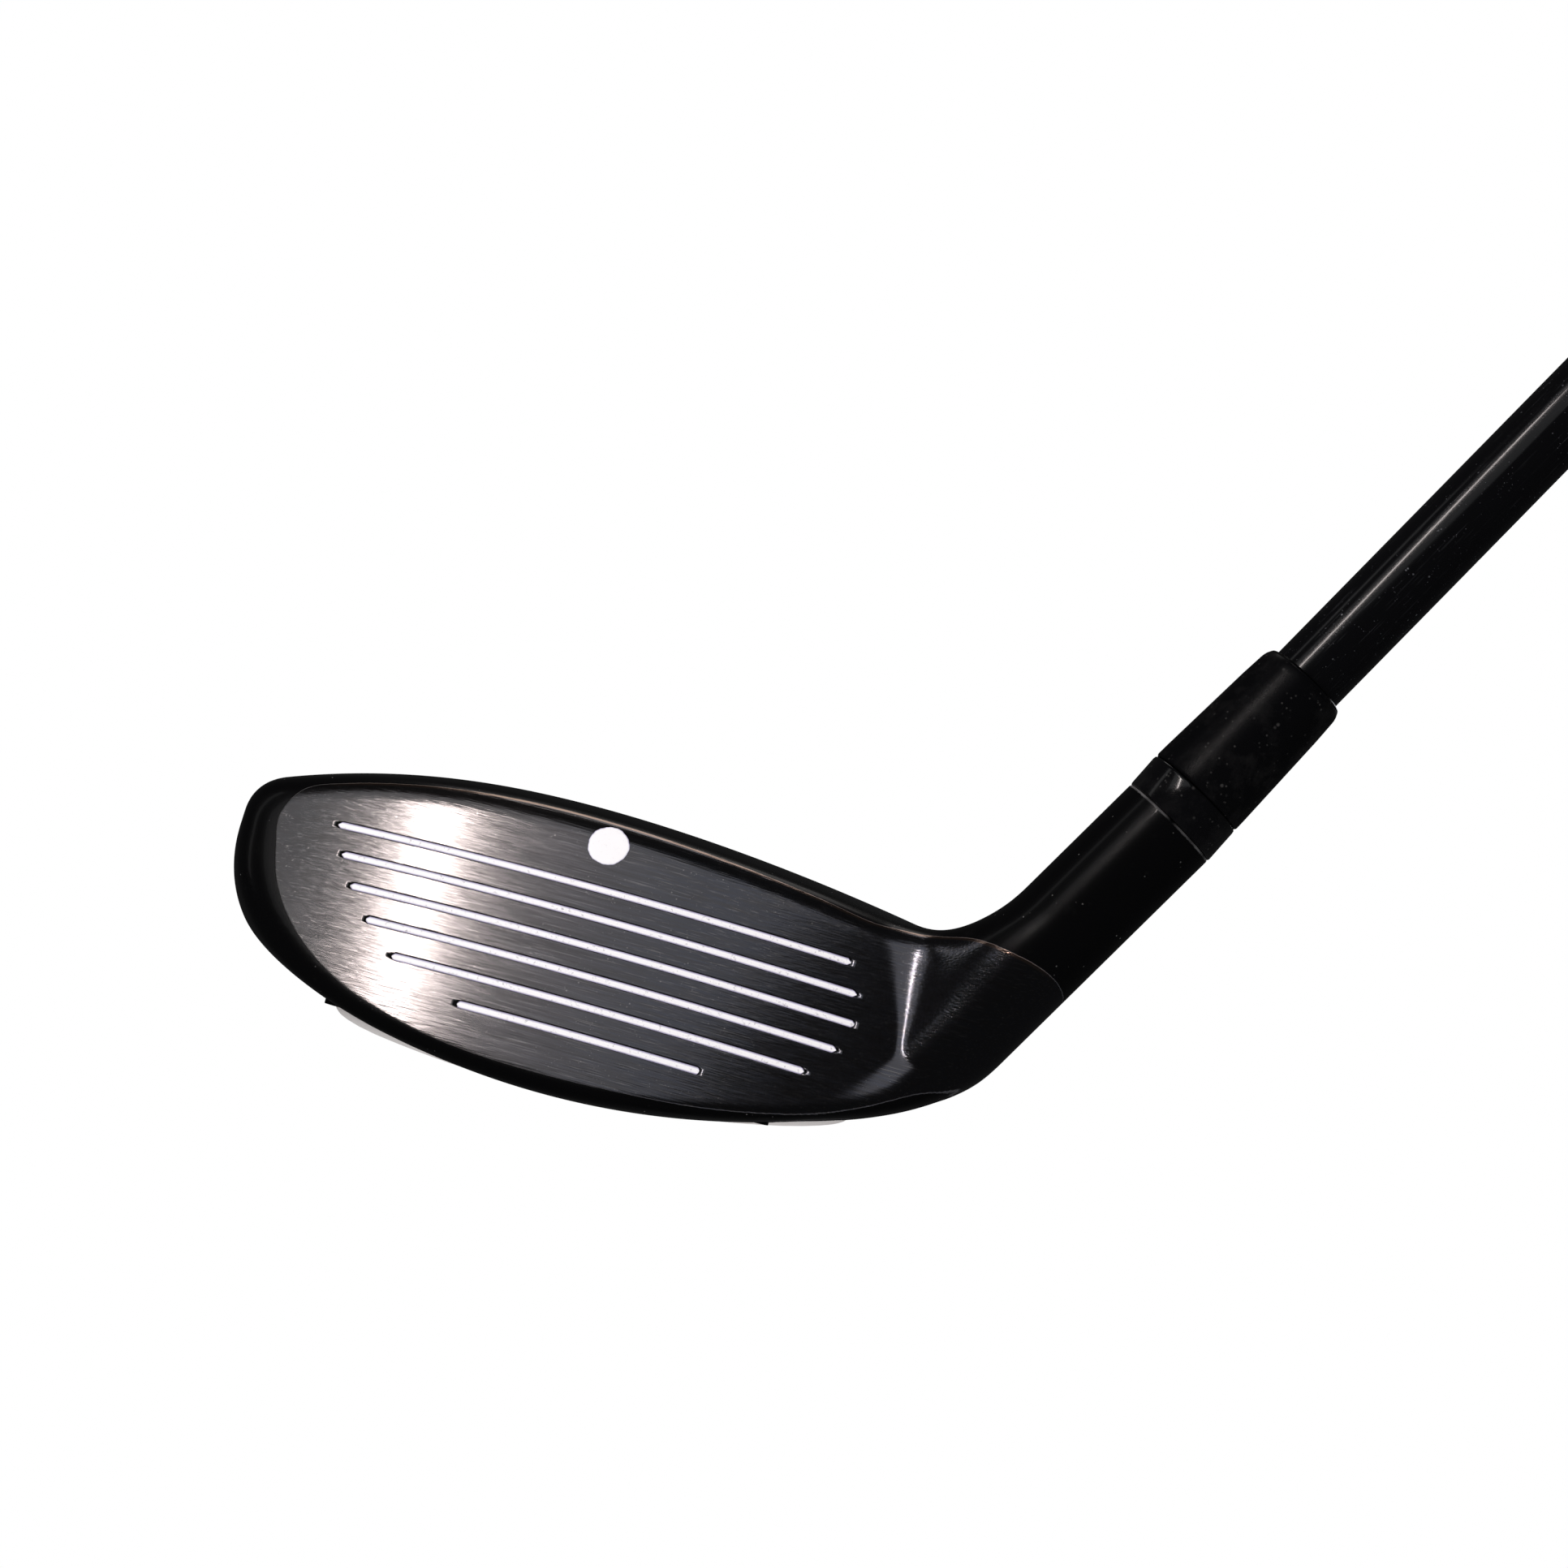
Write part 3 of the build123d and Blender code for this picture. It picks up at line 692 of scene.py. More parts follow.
            p, q, kept = compact(points, quads[mask])
            pieces[name] = make_mesh(name, p, q, normals[kept], border=border[kept], along=along[kept])
        return pieces


@dataclass
class Opening:
    """A hole in the sole, with a rim that follows the skin round it.

    Attributes:
        name: Name of the rim piece.
        centre: Point on the axis of the hole.
        way: Direction out of the hole.
        ring: Closed path of the wall in the plane square to way, millimetres.
        floor: Distance of the wall's inner end from the centre, inward.
        bottom: The hole is closed at its inner end.
        margin: The skin is cut back this far outside the wall.
        near: Skin further than this from the centre along the hole is left alone.
        lip: Rings of the rim: how far outside the wall and how deep under the skin each lies.
        tested: Cells of the lip whose direction is tested.
    """

    name: str
    centre: np.ndarray
    way: np.ndarray
    ring: np.ndarray
    floor: float
    bottom: bool = False
    margin: float = 0.28
    near: float = 14.0
    lip: tuple[tuple[float, float], ...] = (
        (1.0, 0.10), (0.75, -0.015), (0.45, -0.035), (0.22, -0.03), (0.09, 0.02), (0.02, 0.10), (0.0, 0.22),
        (0.0, 0.6))
    tested: int = 40

    @property
    def sides(self) -> tuple[np.ndarray, np.ndarray]:
        """Two directions square to the hole."""
        a = unit(np.cross([0.0, 1.0, 0.0], self.way))
        return a, np.cross(self.way, a)

    def flat(self, p: np.ndarray) -> np.ndarray:
        """Coordinates of points in the plane square to the hole."""
        a, b = self.sides
        q = p - self.centre
        return np.stack([q @ a, q @ b], -1)

    def holds(self, p: np.ndarray) -> np.ndarray:
        """Whether points of the skin lie in the hole."""
        near = np.abs((p - self.centre) @ self.way) < self.near
        hit = np.zeros(len(p), bool)
        hit[near] = signed_distance(self.flat(p[near]), self.ring) < self.margin
        return hit

    def rim(self, form: HeadForm, mark: float) -> bpy.types.Object:
        """Wall of the hole: a lip laid on the skin, a small round, then straight in to the floor.

        Args:
            form: Head the skin belongs to.
            mark: Value of the brushed border attribute for the whole rim.

        Returns:
            The rim piece.
        """
        a, b = self.sides
        step = np.roll(self.ring, -1, 0) - np.roll(self.ring, 1, 0)
        out = np.stack([step[:, 1], -step[:, 0]], -1) / np.linalg.norm(step, axis=1, keepdims=True)
        if ((self.ring - self.ring.mean(0)) * out).sum() < 0:
            out = -out
        rows = []
        for grow, sink in self.lip:
            flat = self.ring + out * grow
            base = self.centre + np.outer(flat[:, 0], a) + np.outer(flat[:, 1], b)
            rows.append(form.drop_to(base, self.way) - self.way * sink)
        foot = self.centre - self.way * self.floor
        wall = foot + np.outer(self.ring[:, 0], a) + np.outer(self.ring[:, 1], b)
        edge = rows[-1]
        for share in (0.35, 0.7, 1.0):
            rows.append(edge + (wall - edge) * share)
        if self.bottom:
            rows.append(np.repeat(foot[None], len(wall), 0))
        grid = Grid(np.array(rows), wrap_columns=True)
        points, quads = weld_ends(grid, False, self.bottom)
        corner = points[quads[: self.tested]]
        face = np.cross(corner[:, 1] - corner[:, 0], corner[:, 3] - corner[:, 0])
        if (face @ self.way).mean() < 0:
            quads = quads[:, ::-1]
        count = len(points)
        return make_mesh(self.name, points, quads, border=np.full(count, mark), along=np.full(count, 20.0))


# ---------------------------------------------------------------------------
# Shader arithmetic
# ---------------------------------------------------------------------------
class Value:
    """Number that changes over a surface: a socket with arithmetic that adds Math nodes."""

    def __init__(self, sheet: "Sheet", socket: bpy.types.NodeSocket) -> None:
        """Wraps a socket of a sheet."""
        self.sheet = sheet
        self.socket = socket

    def math(self, operation: str, *others: "Value | float", clamp: bool = False) -> "Value":
        """Math node of this value and others."""
        inputs = {i: v for i, v in enumerate((self, *others))}
        return self.sheet.node("ShaderNodeMath", {"operation": operation, "use_clamp": clamp}, inputs)

    def __add__(self, other: "Value | float") -> "Value":
        """Sum."""
        return self.math("ADD", other)

    def __radd__(self, other: float) -> "Value":
        """Sum."""
        return self.math("ADD", other)

    def __sub__(self, other: "Value | float") -> "Value":
        """Difference."""
        return self.math("SUBTRACT", other)

    def __rsub__(self, other: float) -> "Value":
        """Difference from a number."""
        return self.sheet.node("ShaderNodeMath", {"operation": "SUBTRACT"}, {0: other, 1: self})

    def __mul__(self, other: "Value | float") -> "Value":
        """Product."""
        return self.math("MULTIPLY", other)

    def __rmul__(self, other: float) -> "Value":
        """Product."""
        return self.math("MULTIPLY", other)

    def step(self, low: float, high: float) -> "Value":
        """Rise from 0 at low to 1 at high; low may be the greater."""
        return ((self - low) * (1.0 / (high - low))).math("ADD", 0.0, clamp=True)

    def largest(self, other: "Value | float") -> "Value":
        """Greater of two values."""
        return self.math("MAXIMUM", other)


class Sheet:
    """One material being written: its node tree, its shader and its coordinates in millimetres."""

    def __init__(self, name: str, **constants: object) -> None:
        """Starts a material with a Principled shader whose sockets take the constants."""
        self.material = bpy.data.materials.new(name)
        self.material.use_nodes = True
        self.tree = self.material.node_tree
        self.shader = self.tree.nodes["Principled BSDF"]
        for key, value in constants.items():
            self.shader.inputs[key.replace("_", " ")].default_value = value

    def node(self, kind: str, settings: dict[str, object], inputs: dict[object, object],
             output: int | str = 0) -> Value:
        """Adds a node.

        Args:
            kind: Node type.
            settings: Attributes of the node, set first.
            inputs: Socket name or number to a number, tuple or value.
            output: Output that is returned.

        Returns:
            The output as a value.
        """
        made = self.tree.nodes.new(kind)
        for key, setting in settings.items():
            setattr(made, key, setting)
        for key, value in inputs.items():
            if isinstance(value, Value):
                self.tree.links.new(value.socket, made.inputs[key])
            else:
                made.inputs[key].default_value = value
        return Value(self, made.outputs[output])

    def place(self, scale: Sequence[float] = (1, 1, 1), turn: Sequence[float] = (0, 0, 0)) -> Value:
        """Object coordinates in millimetres, turned by degrees and then scaled."""
        here = self.node("ShaderNodeTexCoord", {}, {}, "Object")
        angles = tuple(math.radians(a) for a in turn)
        turned = self.node("ShaderNodeMapping", {}, {"Vector": here, "Rotation": angles})
        return self.node("ShaderNodeMapping", {}, {"Vector": turned, "Scale": tuple(s / MM for s in scale)})

    def noise(self, at: Value, scale: float = 1.0, detail: float = 3.0, roughness: float = 0.6) -> Value:
        """Cloud noise from 0 to 1 at a place."""
        return self.node("ShaderNodeTexNoise", {}, {
            "Vector": at, "Scale": scale, "Detail": detail, "Roughness": roughness})

    def specks(self, at: Value, scale: float, size: float) -> Value:
        """Mask of small round specks: 1 at the middle of a speck, 0 away from it."""
        cells = self.node("ShaderNodeTexVoronoi", {}, {"Vector": at, "Scale": scale})
        rare = self.noise(at, scale * 0.37, 1.0)
        return cells.step(size, size * 0.35) * rare.step(0.52, 0.62)

    def mark(self, name: str) -> Value:
        """Value of a point attribute."""
        return self.node("ShaderNodeAttribute", {"attribute_name": name}, {}, "Fac")

    def mix(self, share: Value | float, a: object, b: object) -> Value:
        """Colour a where share is 0 and b where it is 1."""
        return self.node("ShaderNodeMix", {"data_type": "RGBA"}, {0: share, 6: a, 7: b}, 2)

    def axis(self, number: int, at: Value) -> Value:
        """One of the three coordinates of a place."""
        return self.node("ShaderNodeSeparateXYZ", {}, {"Vector": at}, number)

    def bump(self, height: Value, strength: float, distance: float) -> Value:
        """Bumped normal from a height in units of distance millimetres."""
        sockets = {"Height": height, "Strength": strength, "Distance": distance * MM}
        return self.node("ShaderNodeBump", {}, sockets)

    def set(self, **varying: Value) -> None:
        """Links values to the shader's sockets."""
        for key, value in varying.items():
            self.tree.links.new(value.socket, self.shader.inputs[key.replace("_", " ")])


def rgba(color: Sequence[float]) -> tuple[float, float, float, float]:
    """Colour with full alpha."""
    return (*color, 1.0)


# ---------------------------------------------------------------------------
# Finishes
# ---------------------------------------------------------------------------
class Lay(Enum):
    """Direction in which a finish's fine marks run, as scales of the three axes."""

    EVEN = (1.0, 1.0, 1.0)
    ALONG_X = (0.04, 1.0, 1.0)
    ROUND_SHAFT = (1.0, 0.06, 1.0)


@dataclass(frozen=True)
class PlainFinish:
    """Even finish with grain, dust specks and fine scratches.

    Attributes:
        color: Base colour.
        roughness: Roughness between marks.
        metallic: Metallic share.
        coat: Clear coat over it.
        grain: Size of the grain in millimetres.
        grain_bump: Height of the grain in millimetres.
        mottle: How much the grain changes the colour.
        wall: Colour where the point attribute wall is 1, if there is one.
        dust: Strength of pale dust specks.
        dust_color: Colour of the dust.
        lay: Direction of the fine marks.
        shine: Level of the mirror-like share of its light.
    """

    color: tuple[float, float, float]
    roughness: float
    metallic: float = 0.0
    coat: float = 0.0
    grain: float = 1.0
    grain_bump: float = 0.01
    mottle: float = 0.15
    wall: tuple[float, float, float] | None = None
    dust: float = 0.0
    dust_color: tuple[float, float, float] = (0.45, 0.43, 0.42)
    lay: Lay = Lay.EVEN
    shine: float = 0.5

    def material(self, name: str) -> bpy.types.Material:
        """Writes the finish as a material of that name."""
        sheet = Sheet(name, Metallic=self.metallic, Coat_Weight=self.coat, Coat_Roughness=0.04,
                      Specular_IOR_Level=self.shine)
        at = sheet.place(self.lay.value)
        even = sheet.place()
        grain = sheet.noise(at, 1.0 / self.grain, 4.0)
        cloud = sheet.noise(even, 0.09, 2.0)
        shade = 1.0 - (grain * 0.6 + cloud * 0.4) * self.mottle
        dark = tuple(c * (1 - self.mottle) for c in self.color)
        base = sheet.mix(shade.step(1 - self.mottle, 1.0), rgba(dark), rgba(self.color))
        if self.wall:
            base = sheet.mix(sheet.mark("wall"), base, rgba(self.wall))
        rough = (grain - 0.5) * 0.16 + self.roughness + (cloud - 0.5) * 0.08
        if self.dust > 0:
            dots = sheet.specks(even, 1.5, 0.24).largest(sheet.specks(even, 0.55, 0.15))
            film = (sheet.noise(even, 0.22, 5.0, 0.7).step(0.48, 0.75) * 0.10 + dots * 0.5) * self.dust
            base = sheet.mix(film, base, rgba(self.dust_color))
            rough = rough + film * 0.4
        sheet.set(Base_Color=base, Roughness=rough, Normal=sheet.bump(grain, 0.6, self.grain_bump))
        return sheet.material


@dataclass(frozen=True)
class HeadFinish:
    """Gloss black paint that ends at the edge of the brushed steel of face and heel. The steel's colour
    darkens towards toe and heel: painted shade.

    The point attribute border says how far outside the brushed steel a point
    is, and along how far up the hosel, both in millimetres.
    """

    paint: tuple[float, float, float] = (0.0012, 0.0012, 0.0014)
    steel: tuple[float, float, float] = (0.27, 0.252, 0.25)
    # Darker steel colours for toe and heel: painted shade, tinted blue at the heel.
    steel_toe_painted_shade: tuple[float, float, float] = (0.15, 0.15, 0.155)
    steel_heel_painted_shade: tuple[float, float, float] = (0.15, 0.155, 0.185)
    edge: tuple[float, float, float] = (0.62, 0.40, 0.28)
    worn: tuple[float, float, float] = (0.42, 0.41, 0.42)
    brush: float = 0.20
    steel_roughness: float = 0.165
    paint_roughness: float = 0.26
    mouth: float = 59.45

    def material(self, name: str) -> bpy.types.Material:
        """Writes the finish as a material of that name."""
        sheet = Sheet(name, Coat_Roughness=0.03, Specular_IOR_Level=0.2)
        even = sheet.place()
        border, along = sheet.mark("border"), sheet.mark("along")
        ragged = (sheet.noise(even, 2.2, 4.0) - 0.5) * 0.16
        painted = (border + ragged).step(-0.05, 0.07)
        bare = 1.0 - painted
        streak_place = sheet.place((0.035, 1.0, 1.0))
        streaks = sheet.noise(streak_place, 3.2, 3.0, 0.7)
        ridges = sheet.noise(streak_place, 4.5, 1.0)
        broad = sheet.noise(sheet.place((0.012, 0.6, 0.6)), 1.6, 2.0)
        hair = sheet.noise(sheet.place((0.02, 1.0, 1.0)), 7.0, 2.0).step(0.58, 0.72)
        flecks = sheet.specks(even, 1.2, 0.16).largest(sheet.specks(even, 2.9, 0.2))
        # Steel is lightest across the key light's reflection band and darker towards toe and heel: painted
        # shade, tinted blue at the heel.
        across = sheet.axis(0, even)
        toe = across.step(-22.0, -37.0)
        heel = across.step(-16.0, 12.0)
        steel = sheet.mix(toe, rgba(self.steel), rgba(self.steel_toe_painted_shade))
        steel = sheet.mix(heel, steel, rgba(self.steel_heel_painted_shade))
        dull = tuple(c * 0.55 for c in self.steel)
        steel = sheet.mix((1.0 - streaks.step(0.3, 0.66)) * 0.8, steel, rgba(dull))
        pale = tuple(min(1.0, c * 2.1) for c in self.steel)
        steel = sheet.mix((hair * 0.35 + flecks * 0.55).math("MINIMUM", 1.0), steel, rgba(pale))
        height = sheet.axis(2, even)
        rim = border.step(-0.42, -0.30) * bare * height.step(29.5, 31.0)
        steel = sheet.mix(rim * 0.45, steel, rgba(self.edge))
        haze = sheet.noise(even, 0.35, 6.0, 0.75).step(0.62, 0.85)
        dust = sheet.specks(even, 0.9, 0.11) * 0.22 + haze * 0.01
        coat = sheet.mix(dust, rgba(self.paint), (0.5, 0.49, 0.48, 1.0))
        patchy = sheet.noise(even, 0.16, 2.0).step(0.40, 0.58)
        seam = (along + ragged * 1.2).step(self.mouth, self.mouth + 0.14) * patchy
        coat = sheet.mix(seam * 0.25, coat, rgba(self.worn))
        base = sheet.mix(painted, steel, coat)
        rough_steel = self.steel_roughness + (streaks - 0.5) * 0.10 + (broad - 0.5) * 0.06
        rough_paint = self.paint_roughness + dust * 0.6 + seam * 0.25
        rough = rough_steel * bare + rough_paint * painted
        grooves = (ridges * 0.8 + streaks * 0.25) * bare * self.brush
        peel = sheet.noise(even, 0.55, 2.0) * painted * 0.05
        sheet.set(Base_Color=base, Roughness=rough, Metallic=bare, Coat_Weight=painted * 0.15,
                  Normal=sheet.bump(grooves + peel, 0.7, 0.16))
        return sheet.material


@dataclass(frozen=True)
class PaintFill:
    """White paint in a cut line or dot: speckled, with a cool edge where it thins out."""

    white: tuple[float, float, float] = (0.86, 0.85, 0.87)
    thin: tuple[float, float, float] = (0.30, 0.27, 0.44)
    worn: tuple[float, float, float] = (0.22, 0.20, 0.24)
    wear: float = 0.9

    def material(self, name: str) -> bpy.types.Material:
        """Writes the finish as a material of that name; edge is 1 at the rim of the paint."""
        sheet = Sheet(name, Metallic=0.0)
        even = sheet.place()
        edge = sheet.mark("edge")
        grain = sheet.noise(even, 6.0, 5.0, 0.75)
        pits = sheet.noise(even, 2.4, 4.0, 0.7).step(0.58, 0.70) * self.wear
        base = sheet.mix(edge.step(0.1, 0.6) * 0.9, rgba(self.white), rgba(self.thin))
        base = sheet.mix(pits * 0.75, base, rgba(self.worn))
        base = sheet.mix(grain.step(0.62, 0.8) * 0.4, base, rgba(self.thin))
        sheet.set(Base_Color=base, Roughness=grain * 0.3 + 0.4, Normal=sheet.bump(grain, 0.5, 0.04))
        return sheet.material


@dataclass(frozen=True)
class GripFinish:
    """Moulded rubber with a fine cross pattern between the rings."""

    color: tuple[float, float, float] = (0.012, 0.012, 0.0125)
    pattern: float = 1.6

    def material(self, name: str) -> bpy.types.Material:
        """Writes the finish as a material of that name; the pattern is two crossed sets of waves."""
        sheet = Sheet(name, Metallic=0.0)
        flat = sheet.place((1, 1, 1), (0.0, 60.5 - 90.0, 0.0))
        even = sheet.place()
        grain = sheet.noise(even, 3.2, 4.0)
        around, z = sheet.axis(1, flat), sheet.axis(2, flat)
        one = ((around + z) * (2 * math.pi / self.pattern)).math("SINE")
        two = ((around - z) * (2 * math.pi / self.pattern)).math("SINE")
        mesh = one.largest(two).step(0.2, 0.95)
        rub = sheet.noise(even, 0.05, 4.0)
        pale = tuple(c * 2.2 for c in self.color)
        base = sheet.mix(rub.step(0.45, 0.75) * 0.5 + mesh * 0.2, rgba(self.color), rgba(pale))
        rough = 0.62 + (grain - 0.5) * 0.2 - rub * 0.1
        sheet.set(Base_Color=base, Roughness=rough, Normal=sheet.bump(mesh * 0.8 + grain * 0.3, 0.7, 0.16))
        return sheet.material


@dataclass(frozen=True)
class ShaftFinish:
    """Clear lacquer over dark carbon: long scratches and dust in scattered patches."""

    color: tuple[float, float, float] = (0.0018, 0.0018, 0.0022)
    dust: tuple[float, float, float] = (0.30, 0.31, 0.34)

    def material(self, name: str) -> bpy.types.Material:
        """Writes the finish as a material of that name."""
        sheet = Sheet(name, Metallic=0.0, Coat_Weight=0.25, Coat_Roughness=0.05, Specular_IOR_Level=0.3)
        turn = (0.0, 60.5 - 90.0, 0.0)
        fibre = sheet.noise(sheet.place((0.9, 0.9, 0.05), turn), 1.6, 3.0)
        scratch = sheet.noise(sheet.place((1.0, 1.0, 0.03), turn), 5.0, 2.0).step(0.62, 0.70)
        even = sheet.place()
        patch = sheet.noise(even, 0.11, 3.0).step(0.42, 0.62)
        specks = sheet.specks(even, 1.1, 0.17).largest(sheet.specks(even, 2.6, 0.17))
        film = (scratch * 0.05 + specks * 0.4) * (patch * 0.75 + 0.05)
        base = sheet.mix(film, rgba(self.color), rgba(self.dust))
        rough = 0.16 + (fibre - 0.5) * 0.05 + film * 0.5
        sheet.set(Base_Color=base, Roughness=rough, Normal=sheet.bump(fibre + scratch * 0.3, 0.25, 0.02))
        return sheet.material


FINISHES: dict[str, object] = {
    "face_plate": HeadFinish(),
    "head_body": HeadFinish(),
    "crown_shell": HeadFinish(),
    "alignment_dot": PaintFill(wear=0.12),
    "score_line_fill": PaintFill(),
    "slot_filler": PlainFinish((0.045, 0.026, 0.017), 0.45, grain=0.7, dust=0.3),
    "sole_pad": PlainFinish((0.74, 0.70, 0.69), 0.42, 0.1, grain=0.5, mottle=0.2, lay=Lay.ALONG_X, dust=0.4,
                            wall=(0.045, 0.028, 0.014)),
    "sole_weight": PlainFinish((0.42, 0.41, 0.41), 0.3, 1.0, grain=0.35, grain_bump=0.02, mottle=0.35),
    "weight_seal": PlainFinish((0.012, 0.012, 0.012), 0.7, grain=0.4),
    "spline_seat": PlainFinish((0.62, 0.62, 0.64), 0.32, 1.0, grain=0.3, mottle=0.3),
    "screw_washer": PlainFinish((0.7, 0.7, 0.72), 0.22, 1.0, grain=0.4),
    "screw_retainer": PlainFinish((0.03, 0.03, 0.03), 0.55, grain=0.4),
    "hosel_screw": PlainFinish((0.035, 0.035, 0.037), 0.36, 0.8, grain=0.3, mottle=0.3),
    "adapter_sleeve": PlainFinish((0.002, 0.002, 0.0025), 0.16, 0.0, coat=0.4, grain=0.5, mottle=0.3,
                                  dust=0.10, shine=0.3, lay=Lay.ROUND_SHAFT),
    "ferrule": PlainFinish((0.002, 0.002, 0.0024), 0.30, grain=0.35, mottle=0.3, dust=0.12, shine=0.1),
    "shaft": ShaftFinish(),
    "tip_pin": PlainFinish((0.62, 0.44, 0.18), 0.3, 1.0, grain=0.4),
    "grip_tape": PlainFinish((0.62, 0.58, 0.46), 0.8, grain=0.3, mottle=0.25),
    "grip": GripFinish(),
    "grip_cap": PlainFinish((0.014, 0.014, 0.014), 0.55, grain=0.5, dust=0.3),
}


def dress(piece: bpy.types.Object, slot: str) -> None:
    """Gives a piece the finish of its slot and names the slot.

    Args:
        piece: Piece to dress.
        slot: Material slot, which is also the name of the finish.
    """
    finish = f"{slot}_finish"
    material = bpy.data.materials.get(finish) or FINISHES[slot].material(finish)
    piece.data.materials.clear()
    piece.data.materials.append(material)


# ---------------------------------------------------------------------------
# Sub-assemblies
# ---------------------------------------------------------------------------
@dataclass
class Head:
    """Clubhead: skin, openings, inserts and paint."""

    form: HeadForm = field(default_factory=HeadForm)
    lines: ScoreLines = field(default_factory=ScoreLines)
    pad_size: tuple[float, float] = (67.0, 16.0)
    pad_corner: float = 7.5
    pad_middle: tuple[float, float] = (2.5, 12.0)
    pad_low: float = -4.7
    pad_radius: float = 147.0
    pad_rim: tuple[tuple[float, float], ...] = (
        (0.0, 1.6), (0.0, 1.4), (0.03, 1.1), (0.12, 0.8), (0.33, 0.44), (0.65, 0.18), (1.05, 0.04),
        (1.4, 0.0))
    slot_size: tuple[float, float] = (56.0, 3.2)
    slot_middle: tuple[float, float] = (-0.5, -4.4)
    slot_sunk: float = 0.5
    slot_depth: float = 4.0
    weight_at: tuple[float, float] = (2.0, 29.0)
    port_radius: float = 7.3
    port_depth: float = 2.5
    recess_from: float = 14.0
    recess_to: float = 24.6
    recess_radius: float = 4.7
    brushed: tuple[tuple[float, float], ...] = (
        (-40.3, -5.9), (-39.4, -9.9), (-37.2, -15.2), (-33.0, -20.2), (-27.2, -24.3), (-20.8, -26.9),
        (-12.0, -28.9), (-2.0, -29.6), (9.0, -29.3), (20.0, -28.2), (30.0, -25.8), (38.0, -22.5),
        (44.0, -18.8), (48.0, -16.3), (51.0, -13.5), (55.0, -7.5), (58.5, -3.5), (50.0, -1.1),
        (44.6, 0.35), (37.5, 0.6))

    def top_edge(self, x: float) -> float:
        """Up-face place of the face's top edge: the top line less the thin painted rim over it."""
        drop = self.form.top_line(np.array(x)) - self.form.dot[2] - 0.95
        return float(drop / math.cos(math.radians(self.form.loft)))

    def border(self, p: np.ndarray) -> np.ndarray:
        """Distance outside the brushed steel, greater than nothing on the back."""
        x, t = self.form.face_place(p)
        top = [(float(v), self.top_edge(v)) for v in np.linspace(33.0, -34.0, 12)]
        ring = closed_curve([*self.brushed, *top, (-38.4, -1.8)], 6)
        return np.maximum(signed_distance(np.stack([x, t], -1), ring), p[:, 1] - 3.0)

    def on_sole(self, x: np.ndarray, y: np.ndarray, proud: np.ndarray | float) -> np.ndarray:
        """Points over the sole's ball at plan places, proud of it by so much."""
        r = self.form.sole_radius + proud
        z = self.form.sole_radius - np.sqrt(r**2 - x**2 - y**2)
        return np.stack([x, y, z], -1)

    def sole_patch(self, name: str, size: tuple[float, float], corner: float, middle: tuple[float, float],
                   steps: Sequence[tuple[float, float]], radius: float, low: float = 0.0, foot: float = 1.6,
                   rings: int = 14) -> bpy.types.Object:
        """Rounded rectangle laid on the sole: rings shrink from the rim to the middle.

        Args:
            name: Name of the piece.
            size: Length and width.
            corner: Corner radius.
            middle: Plan place of its centre.
            steps: Inset of the rim's rings and how far each lies under the patch's ball, from the outside in.
            radius: Radius of the patch's ball, which touches the ground.
            low: Heelward place where it does.
            foot: How deep in the sole the wall starts.
            rings: Rings from the last of those to the middle.

        Returns:
            The piece.
        """
        half = np.array(size) / 2
        turn = np.linspace(0, 2 * math.pi, 240, endpoint=False)
        ball = np.stack([np.cos(turn), np.sin(turn)], -1)
        sharp = ball / np.maximum(np.abs(ball) / half, 1e-9).max(1, keepdims=True)
        core = np.clip(sharp, -(half - corner), half - corner)
        reach = np.linalg.norm(sharp - core, axis=1, keepdims=True)
        rim = core + (sharp - core) / np.maximum(reach, 1e-9) * corner
        on_side = reach[:, 0] < 1e-9
        rim[on_side] = sharp[on_side]
        rows = [self.on_sole(*(rim + middle).T, -foot)]
        laid = [(rim * (1 - inset / half), under) for inset, under in steps]
        laid += [(laid[-1][0] * share, steps[-1][1]) for share in np.linspace(1, 0, rings + 1)[1:]]
        for ring, under in laid:
            x, y = (ring + middle).T
            rise = radius - np.sqrt(radius**2 - (x - low) ** 2 - y**2)
            rows.append(np.stack([x, y, rise + under], -1))
        points, quads = weld_ends(Grid(np.array(rows), wrap_columns=True), False, True)
        wall = np.zeros(len(rows))
        wall[:2] = 1.0
        return make_mesh(name, points, quads, wall=np.repeat(wall, len(rim)))

    def insert(self) -> bpy.types.Object:
        """Filler of the sole's slot, sunk under the sole with its rim rounded."""
        sunk, corner = self.slot_sunk, self.slot_size[1] / 2 - 0.02
        rim = [(0.02, sunk + 0.3), (0.12, sunk + 0.08), (0.35, sunk)]
        return self.sole_patch("sole_insert", self.slot_size, corner, self.slot_middle, rim,
                               self.form.sole_radius)

    def pad(self) -> bpy.types.Object:
        """Pad of the sole, its rim rounded down to the wall."""
        return self.sole_patch("sole_rest_pad", self.pad_size, self.pad_corner, self.pad_middle, self.pad_rim,
                               self.pad_radius, self.pad_low)

